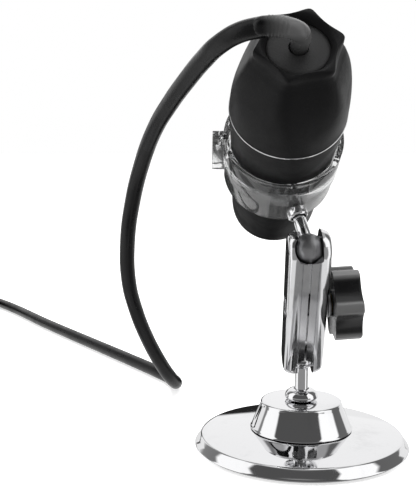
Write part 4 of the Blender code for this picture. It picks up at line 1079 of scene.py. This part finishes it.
def add(tree, kind, *first_inputs, **settings):
    """A new node. Settings in lower case are the node's own, and the others are inputs."""
    node = tree.nodes.new("ShaderNode" + kind)
    for label in [label for label in settings if label.islower()]:
        setattr(node, label, settings.pop(label))
    for socket, value in zip(node.inputs, first_inputs):
        feed(tree, socket, value)
    fill(tree, node, **settings)
    return node


def rising(tree, source, low, high):
    """A smooth step from 0 to 1, as a socket's number goes from one level to another."""
    return add(tree, "MapRange", source, interpolation_type="SMOOTHSTEP",
               From_Min=low, From_Max=high).outputs["Result"]


def colour_mix(tree, factor, first, second):
    """Mixes two colours. Each is a socket, a grey level or red, green and blue."""
    mix = add(tree, "Mix", data_type="RGBA", Factor=factor)
    for label, value in (("A", first), ("B", second)):
        if isinstance(value, float):
            value = (value, value, value)
        feed(tree, mix.inputs[label], (*value, 1) if isinstance(value, tuple) else value)
    return mix.outputs["Result"]


def effect(name, numbers, outputs):
    """A new group with number inputs, then its inner sockets and its piece's coordinates."""
    group = bpy.data.node_groups.new(name, "ShaderNodeTree")
    for label, value in numbers.items():
        group.interface.new_socket(
            label, in_out="INPUT", socket_type="NodeSocketFloat").default_value = value
    for label in outputs:
        group.interface.new_socket(label, in_out="OUTPUT", socket_type="NodeSocketFloat")
    start = group.nodes.new("NodeGroupInput")
    end = group.nodes.new("NodeGroupOutput")
    return group, start.outputs, end, add(group, "TexCoord").outputs["Object"]


# %% Wiping marks: soft patches where a polished face is less clear
wiped, given, end, where = effect("wiping_marks", {"Scale": 90.0, "Low": 0.04, "High": 0.14},
                                  ["Roughness"])
patches = add(wiped, "TexNoise", Vector=where, Scale=given["Scale"],
              Detail=5.0, Roughness=0.62, Distortion=0.8)
mix = add(wiped, "Mix", Factor=rising(wiped, patches.outputs["Fac"], 0.42, 0.72),
          A=given["Low"], B=given["High"])
fill(wiped, end, Roughness=mix.outputs["Result"])

# %% Moulded grain: the fine skin that a tool leaves on plastic
grained, given, end, where = effect("moulded_grain", {"Scale": GRAIN_SCALE}, ["Height"])
pits = add(grained, "TexVoronoi", feature="SMOOTH_F1", Vector=where, Scale=given["Scale"])
fine = add(grained, "TexNoise", Vector=where, Scale=given["Scale"], Detail=3.0)
both = add(grained, "Math", pits.outputs["Distance"], fine.outputs["Fac"], operation="ADD")
fill(grained, end, Height=both.outputs["Value"])

# %% Scuffs and dust: long faint streaks and small pale specks
scuffed, given, end, where = effect(
    "scuffs_and_dust", {"Streaks": STREAK_SCALE, "Specks": 900.0}, ["Scuff", "Dust"])
stretch = add(scuffed, "Mapping", Vector=where, Scale=(1.0, 1.0, 0.22))
streaks = add(scuffed, "TexNoise", Vector=stretch.outputs["Vector"], Scale=given["Streaks"],
              Detail=6.0, Roughness=0.7)
specks = add(scuffed, "TexVoronoi", Vector=where, Scale=given["Specks"])
fill(scuffed, end, Scuff=rising(scuffed, streaks.outputs["Fac"], 0.50, 0.78),
     Dust=rising(scuffed, specks.outputs["Distance"], 0.10, 0.05))
print("effects", [group.name for group in bpy.data.node_groups])


# %% A helper for finishes
def finish(name, colour, second, roughness, metallic=0.0, grain=0.0, grain_scale=GRAIN_SCALE,
           streaks=STREAK_SCALE, dust=0.0, **plain):
    """A Principled finish: two close colours mixed by scuffs, wiped roughness and a grain."""
    made = bpy.data.materials.new(name)
    made.use_nodes = True
    tree = made.node_tree
    marks = add(tree, "Group", node_tree=scuffed, Streaks=streaks)
    mixed = colour_mix(tree, marks.outputs["Scuff"], colour, second)
    if dust > 0:
        amount = add(tree, "Math", marks.outputs["Dust"], dust, operation="MULTIPLY")
        mixed = colour_mix(tree, amount.outputs["Value"], mixed, DUST_COLOUR)
    gloss = add(tree, "Group", node_tree=wiped, Low=roughness[0], High=roughness[1])
    if grain > 0:
        skin = add(tree, "Group", node_tree=grained, Scale=grain_scale)
        bump = add(tree, "Bump", Strength=grain, Distance=GRAIN_HEIGHT,
                   Height=skin.outputs["Height"])
        plain["Normal"] = bump.outputs["Normal"]
    fill(tree, tree.nodes["Principled BSDF"], Base_Color=mixed, Metallic=metallic,
         Roughness=gloss.outputs["Roughness"], **plain)
    return made


# %% The finishes of this object
chrome = finish("polished_chrome", (0.80, 0.80, 0.81), (0.70, 0.70, 0.71), (0.03, 0.09), 1.0)
drawn = finish("drawn_chrome", (0.78, 0.78, 0.79), (0.66, 0.66, 0.67), (0.10, 0.17), 1.0,
               streaks=260.0)
satin = finish("satin_steel", (0.46, 0.46, 0.47), (0.22, 0.22, 0.225), (0.40, 0.52), 1.0,
               grain=0.25, grain_scale=900.0, streaks=420.0)
steel = finish("plain_steel", (0.50, 0.50, 0.51), (0.38, 0.38, 0.39), (0.26, 0.40), 1.0)
iron = finish("cast_iron", (0.13, 0.13, 0.14), (0.09, 0.085, 0.08), (0.50, 0.75), 1.0,
              grain=0.8, grain_scale=1200.0)
brass = finish("brass", (0.70, 0.50, 0.22), (0.55, 0.38, 0.16), (0.24, 0.38), 1.0)
shell_black = finish("moulded_black", (0.0165, 0.0165, 0.0170), (0.0215, 0.0215, 0.0220),
                     (0.40, 0.54), grain=0.30, dust=0.05, Specular_IOR_Level=0.09)
# Painted light: the cap is a lighter copy of the shell's black, for the light that falls on this
# upward end
cap_black_painted_light = finish("cap_black_painted_light", (0.034, 0.034, 0.0345), (0.044, 0.044, 0.0445), (0.44, 0.58),
                   grain=0.35, dust=0.05, Specular_IOR_Level=0.40)
knob_black = finish("gloss_black", (0.0090, 0.0090, 0.0095), (0.018, 0.018, 0.0185),
                    (0.20, 0.34), Specular_IOR_Level=0.35, Coat_Weight=0.15,
                    Coat_Roughness=0.10)
jacket = finish("cord_jacket", (0.0025, 0.0025, 0.0030), (0.0055, 0.0055, 0.0060), (0.26, 0.42),
                grain=0.2, grain_scale=1800.0, dust=0.05, Specular_IOR_Level=0.24)
# Painted shade: the nose is a much darker copy of the shell's black, for the shade on this
# downward end
nose_black_painted_shade = finish("nose_black_painted_shade", (0.0016, 0.0016, 0.0020), (0.0030, 0.0030, 0.0035),
                    (0.40, 0.54), grain=0.3, dust=0.03, Specular_IOR_Level=0.08)
sleeve_black = finish("sleeve_rubber", (0.0028, 0.0028, 0.0033), (0.0060, 0.0060, 0.0065),
                      (0.24, 0.38), grain=0.2, dust=0.05, Specular_IOR_Level=0.32)
foam = finish("black_foam", (0.014, 0.014, 0.014), (0.028, 0.028, 0.028), (0.85, 0.98),
              grain=1.0, grain_scale=1400.0, dust=0.2)
board_green = finish("circuit_board", (0.012, 0.12, 0.045), (0.02, 0.17, 0.07), (0.30, 0.45),
                     streaks=500.0)
chip_black = finish("chip_black", (0.018, 0.018, 0.018), (0.03, 0.03, 0.03), (0.35, 0.5),
                    grain=0.3)
ivory = finish("ivory_plastic", (0.72, 0.69, 0.60), (0.62, 0.59, 0.50), (0.35, 0.5),
               grain=0.2)
lamp = finish("led_lens", (0.86, 0.84, 0.66), (0.80, 0.78, 0.55), (0.08, 0.18),
              Transmission_Weight=0.6)
clear = finish("clear_plastic", (0.95, 0.955, 0.955), (0.90, 0.91, 0.91), (0.03, 0.10),
               Transmission_Weight=0.975, IOR=1.47, Specular_IOR_Level=0.30)
glass = finish("lens_glass", (0.96, 0.98, 1.0), (0.92, 0.95, 1.0), (0.0, 0.03),
               Transmission_Weight=1.0, IOR=1.52)
filter_glass = finish("filter_glass", (0.75, 0.35, 0.40), (0.65, 0.28, 0.34), (0.03, 0.08),
                      Transmission_Weight=0.8, IOR=1.5)


def paint_highlight(material, level):
    """Paints a pale highlight into a finish, as strongly as the piece's own attribute says."""
    tree = material.node_tree
    shader = tree.nodes["Principled BSDF"]
    own_colour = shader.inputs["Base Color"].links[0].from_socket
    # Painted highlight: the base colour is mixed toward a pale grey as far as the attribute says
    highlight_amount = add(tree, "Attribute", attribute_name="painted_highlight")
    fill(tree, shader, Base_Color=colour_mix(tree, highlight_amount.outputs["Fac"], own_colour, level))


# Painted highlight on the knob's lobe crests
paint_highlight(knob_black, KNOB_PAINTED_HIGHLIGHT)
# Painted highlight on the middle of the sleeve
paint_highlight(sleeve_black, SLEEVE_PAINTED_HIGHLIGHT)
print("finishes", len(bpy.data.materials))

# %% [markdown]
# ## Dressing the frame
# Each new piece takes a finish, rides on its body and says which CAD nodes it stands for.
# Nodes whose shape is already right stay, and only get a better finish.

# %% New pieces and what they replace
dressing = [
    (disc, chrome, "base", ["base_disc"], "chrome"),
    (dome, chrome, "base", ["base_dome"], "chrome"),
    (collar, chrome, "base", ["post_collar"], "chrome"),
    (pad, foam, "base", ["base_pad"], "foam_pad"),
    (post, chrome, "lower_stud", ["lower_stud"], "satin_steel"),
    (upper_rod, satin, "upper_stud", ["upper_stud"], "satin_steel"),
    (jaws[0], drawn, "arm", ["fixed_jaw"], "chrome"),
    (jaws[1], drawn, "jaw", ["moving_jaw"], "chrome"),
    (knob, knob_black, "knob", ["clamp_knob"], "gloss_black"),
    (washer, steel, "jaw", ["knob_washer"], "satin_steel"),
    (ring, clear, "holder", ["clear_ring"], "clear_plastic"),
    (tail, shell_black, "microscope", ["rear_shell"], "matte_black"),
    (cap, cap_black_painted_light, "microscope", ["end_cap"], "matte_black"),
    (trim, chrome, "microscope", ["trim_ring"], "chrome"),
    (front, shell_black, "microscope", ["front_shell"], "matte_black"),
    (nose, nose_black_painted_shade, "nose", ["nose_barrel"], "matte_black"),
    (button, knob_black, "button", ["snap_button"], "gloss_black"),
    (sleeve, sleeve_black, "microscope", ["strain_relief"], "cord_jacket"),
    (cord, jacket, "microscope", ["cord_lead", "cord_coil", "cord_tail"], "cord_jacket"),
    (tie, sleeve_black, "microscope", ["cord_tie"], "cord_jacket"),
    (neck, jacket, "microscope", ["plug_neck"], "cord_jacket"),
    (grip, shell_black, "microscope", ["plug_grip"], "matte_black"),
]
for piece, material, body, stands_for, record_slot in dressing:
    piece.data.materials.clear()
    piece.data.materials.append(material)
    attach(piece, body)
    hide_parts(*stands_for)
    if piece.type == "MESH":
        print(piece.name, sum(len(face.vertices) - 2 for face in piece.data.polygons))
upper_rod.data.materials.append(chrome)
for face in upper_rod.data.polygons:
    if (face.center - upper_ball).length > BALL_RADIUS + 0.0001:
        face.material_index = 1
replaced = {node for row in dressing for node in row[3]}
print(len(dressing), "new pieces for", len(replaced), "nodes")

# %% Nodes that stay
kept_finish = {
    "base_weight": iron, "clamp_bolt": steel, "jaw_spring": steel, "knob_insert": brass,
    "ring_boss": chrome, "inner_frame": shell_black, "led_board": board_green,
    "nose_window": clear, "sensor_board": board_green, "image_sensor": chip_black,
    "ir_filter": filter_glass, "main_board": board_green, "main_chip": chip_black,
    "cable_socket": ivory, "snap_switch": chip_black, "plug_shell": chrome,
    "plug_tongue": ivory, "lens_barrel": shell_black, "front_lens": glass,
    "rear_lens": glass,
}
kept_finish.update({f"led_{i + 1}": lamp for i in range(8)})
for name, node in frame["nodes"].items():
    if name not in replaced:
        for slot in node.material_slots:
            slot.material = kept_finish[name]
print(len(kept_finish), "nodes kept")

# %% [markdown]
# ## Floor, light and surroundings
# Chrome shows the room more than itself. The photograph's chrome has a dark patch between two
# bright ones, so the room here has a dark gap toward the camera, two bright panels beside it,
# a white wall behind and a dark ceiling. They are drawn on the world, where they hide nothing
# from any side. The camera itself sees plain white behind the object, and a floor that is
# paler to it than it is in the chrome.

# %% Bands of light and dark by bearing
HIGH_BANDS = [
    (-180, 1.05), (-140, 1.00), (-130, 0.25), (-110, 0.20), (-106, 1.20), (-68, 1.20),
    (-64, 0.09), (45, 0.09), (49, 1.25), (90, 1.25), (95, 0.14), (128, 0.16), (142, 1.00),
    (180, 1.05),
]
LOW_BANDS = [
    (-180, 0.02), (-152, 0.02), (-148, 0.95), (-118, 0.95), (-114, 0.25), (-104, 0.25),
    (-100, 1.20), (-66, 1.20), (-62, 0.30), (62, 0.30), (66, 1.20), (88, 1.20), (92, 0.15),
    (122, 0.15), (126, 0.95), (180, 0.95),
]


def bearing_bands(tree, source, bands):
    """A colour by compass bearing, where 0 is toward the camera and 90 is to its right."""
    parts = add(tree, "SeparateXYZ", source)
    toward = add(tree, "Math", parts.outputs["Y"], -1.0, operation="MULTIPLY")
    bearing = add(tree, "Math", parts.outputs["X"], toward.outputs["Value"],
                  operation="ARCTAN2")
    turns = add(tree, "MapRange", bearing.outputs["Value"], From_Min=-math.pi, From_Max=math.pi)
    ramp = add(tree, "ValToRGB", turns.outputs["Result"])
    stops = ramp.color_ramp.elements
    while len(stops) < len(bands):
        stops.new(0.5)
    for stop, (degrees, light) in zip(stops, bands):
        stop.position = (degrees + 180) / 360
        stop.color = (light, light, light, 1)
    return ramp.outputs["Color"], parts.outputs["Z"]


# %% Floor
FLOOR_GLOW = 0.62
NEAR_FLOOR = 0.26
NEAR_SIDES = 0.85
NEAR_ENDS = (0.064, 0.078)
STRIP_ENDS = (0.024, 0.030)
floor = added("floor", bpy.ops.mesh.primitive_plane_add, size=40)
floor_paint = bpy.data.materials.new("pale_floor")
floor_paint.use_nodes = True
tree = floor_paint.node_tree
pale = tree.nodes["Principled BSDF"]
fill(tree, pale, Base_Color=(0.80, 0.80, 0.80, 1), Roughness=0.9, Specular_IOR_Level=0.1,
     Emission_Color=(1, 1, 1, 1), Emission_Strength=FLOOR_GLOW)
where = add(tree, "TexCoord").outputs["Object"]
far_off = add(tree, "VectorMath", where, operation="LENGTH")
aside = add(tree, "SeparateXYZ", where)
sideways = add(tree, "Math", aside.outputs["X"], operation="ABSOLUTE")
near_light = colour_mix(tree, rising(tree, sideways.outputs["Value"], *STRIP_ENDS),
                        NEAR_FLOOR, NEAR_SIDES)
low_light = bearing_bands(tree, where, LOW_BANDS)[0]
mirrored = add(tree, "Emission", Color=colour_mix(
    tree, rising(tree, far_off.outputs["Value"], *NEAR_ENDS), near_light, low_light))
which = add(tree, "MixShader", add(tree, "LightPath").outputs["Is Camera Ray"],
            mirrored.outputs["Emission"], pale.outputs["BSDF"])
fill(tree, tree.nodes["Material Output"], Surface=which.outputs["Shader"])
floor.data.materials.append(floor_paint)


# %% Soft studio lights
def panel(name, at, aim, size, watts):
    """A soft square light that looks at a point. Chrome shows the room, not the light."""
    data = bpy.data.lights.new(name, "AREA")
    data.shape = "SQUARE"
    data.size = size
    data.energy = watts
    light = linked(name, data)
    light.location = at
    light.rotation_euler = (Vector(aim) - Vector(at)).to_track_quat("-Z", "Y").to_euler()
    light.visible_glossy = False


panel("overhead", (0.05, 0.15, 0.95), (0, 0, 0.05), 0.9, 8)
panel("left_panel", (-0.75, -0.45, 0.45), (0, 0, 0.06), 0.5, 2)

# %% The room, as the world
WALLS_FROM = (0.15, 0.18)
CEILING_FROM = (0.80, 0.85)
SKYLIGHT_FROM = (0.91, 0.95)
CEILING_LIGHT = 0.44
world = bpy.data.worlds.new("studio_room")
bpy.context.scene.world = world
world.use_nodes = True
tree = world.node_tree
heading = add(tree, "TexCoord").outputs["Generated"]
low, height = bearing_bands(tree, heading, LOW_BANDS)
high = bearing_bands(tree, heading, HIGH_BANDS)[0]
room = colour_mix(tree, rising(tree, height, *WALLS_FROM), low, high)
room = colour_mix(tree, rising(tree, height, *CEILING_FROM), room, CEILING_LIGHT)
room = colour_mix(tree, rising(tree, height, *SKYLIGHT_FROM), room, 1.0)
room = colour_mix(tree, add(tree, "LightPath").outputs["Is Camera Ray"], room, 1.0)
fill(tree, tree.nodes["Background"], Color=room)
bpy.context.scene.view_settings.view_transform = "Standard"
print("arm faces up by degrees", round(math.degrees(math.asin(-arm_y.z)), 1),
      "and to the right by", round(math.degrees(math.atan2(-arm_y.x, arm_y.y)), 1))
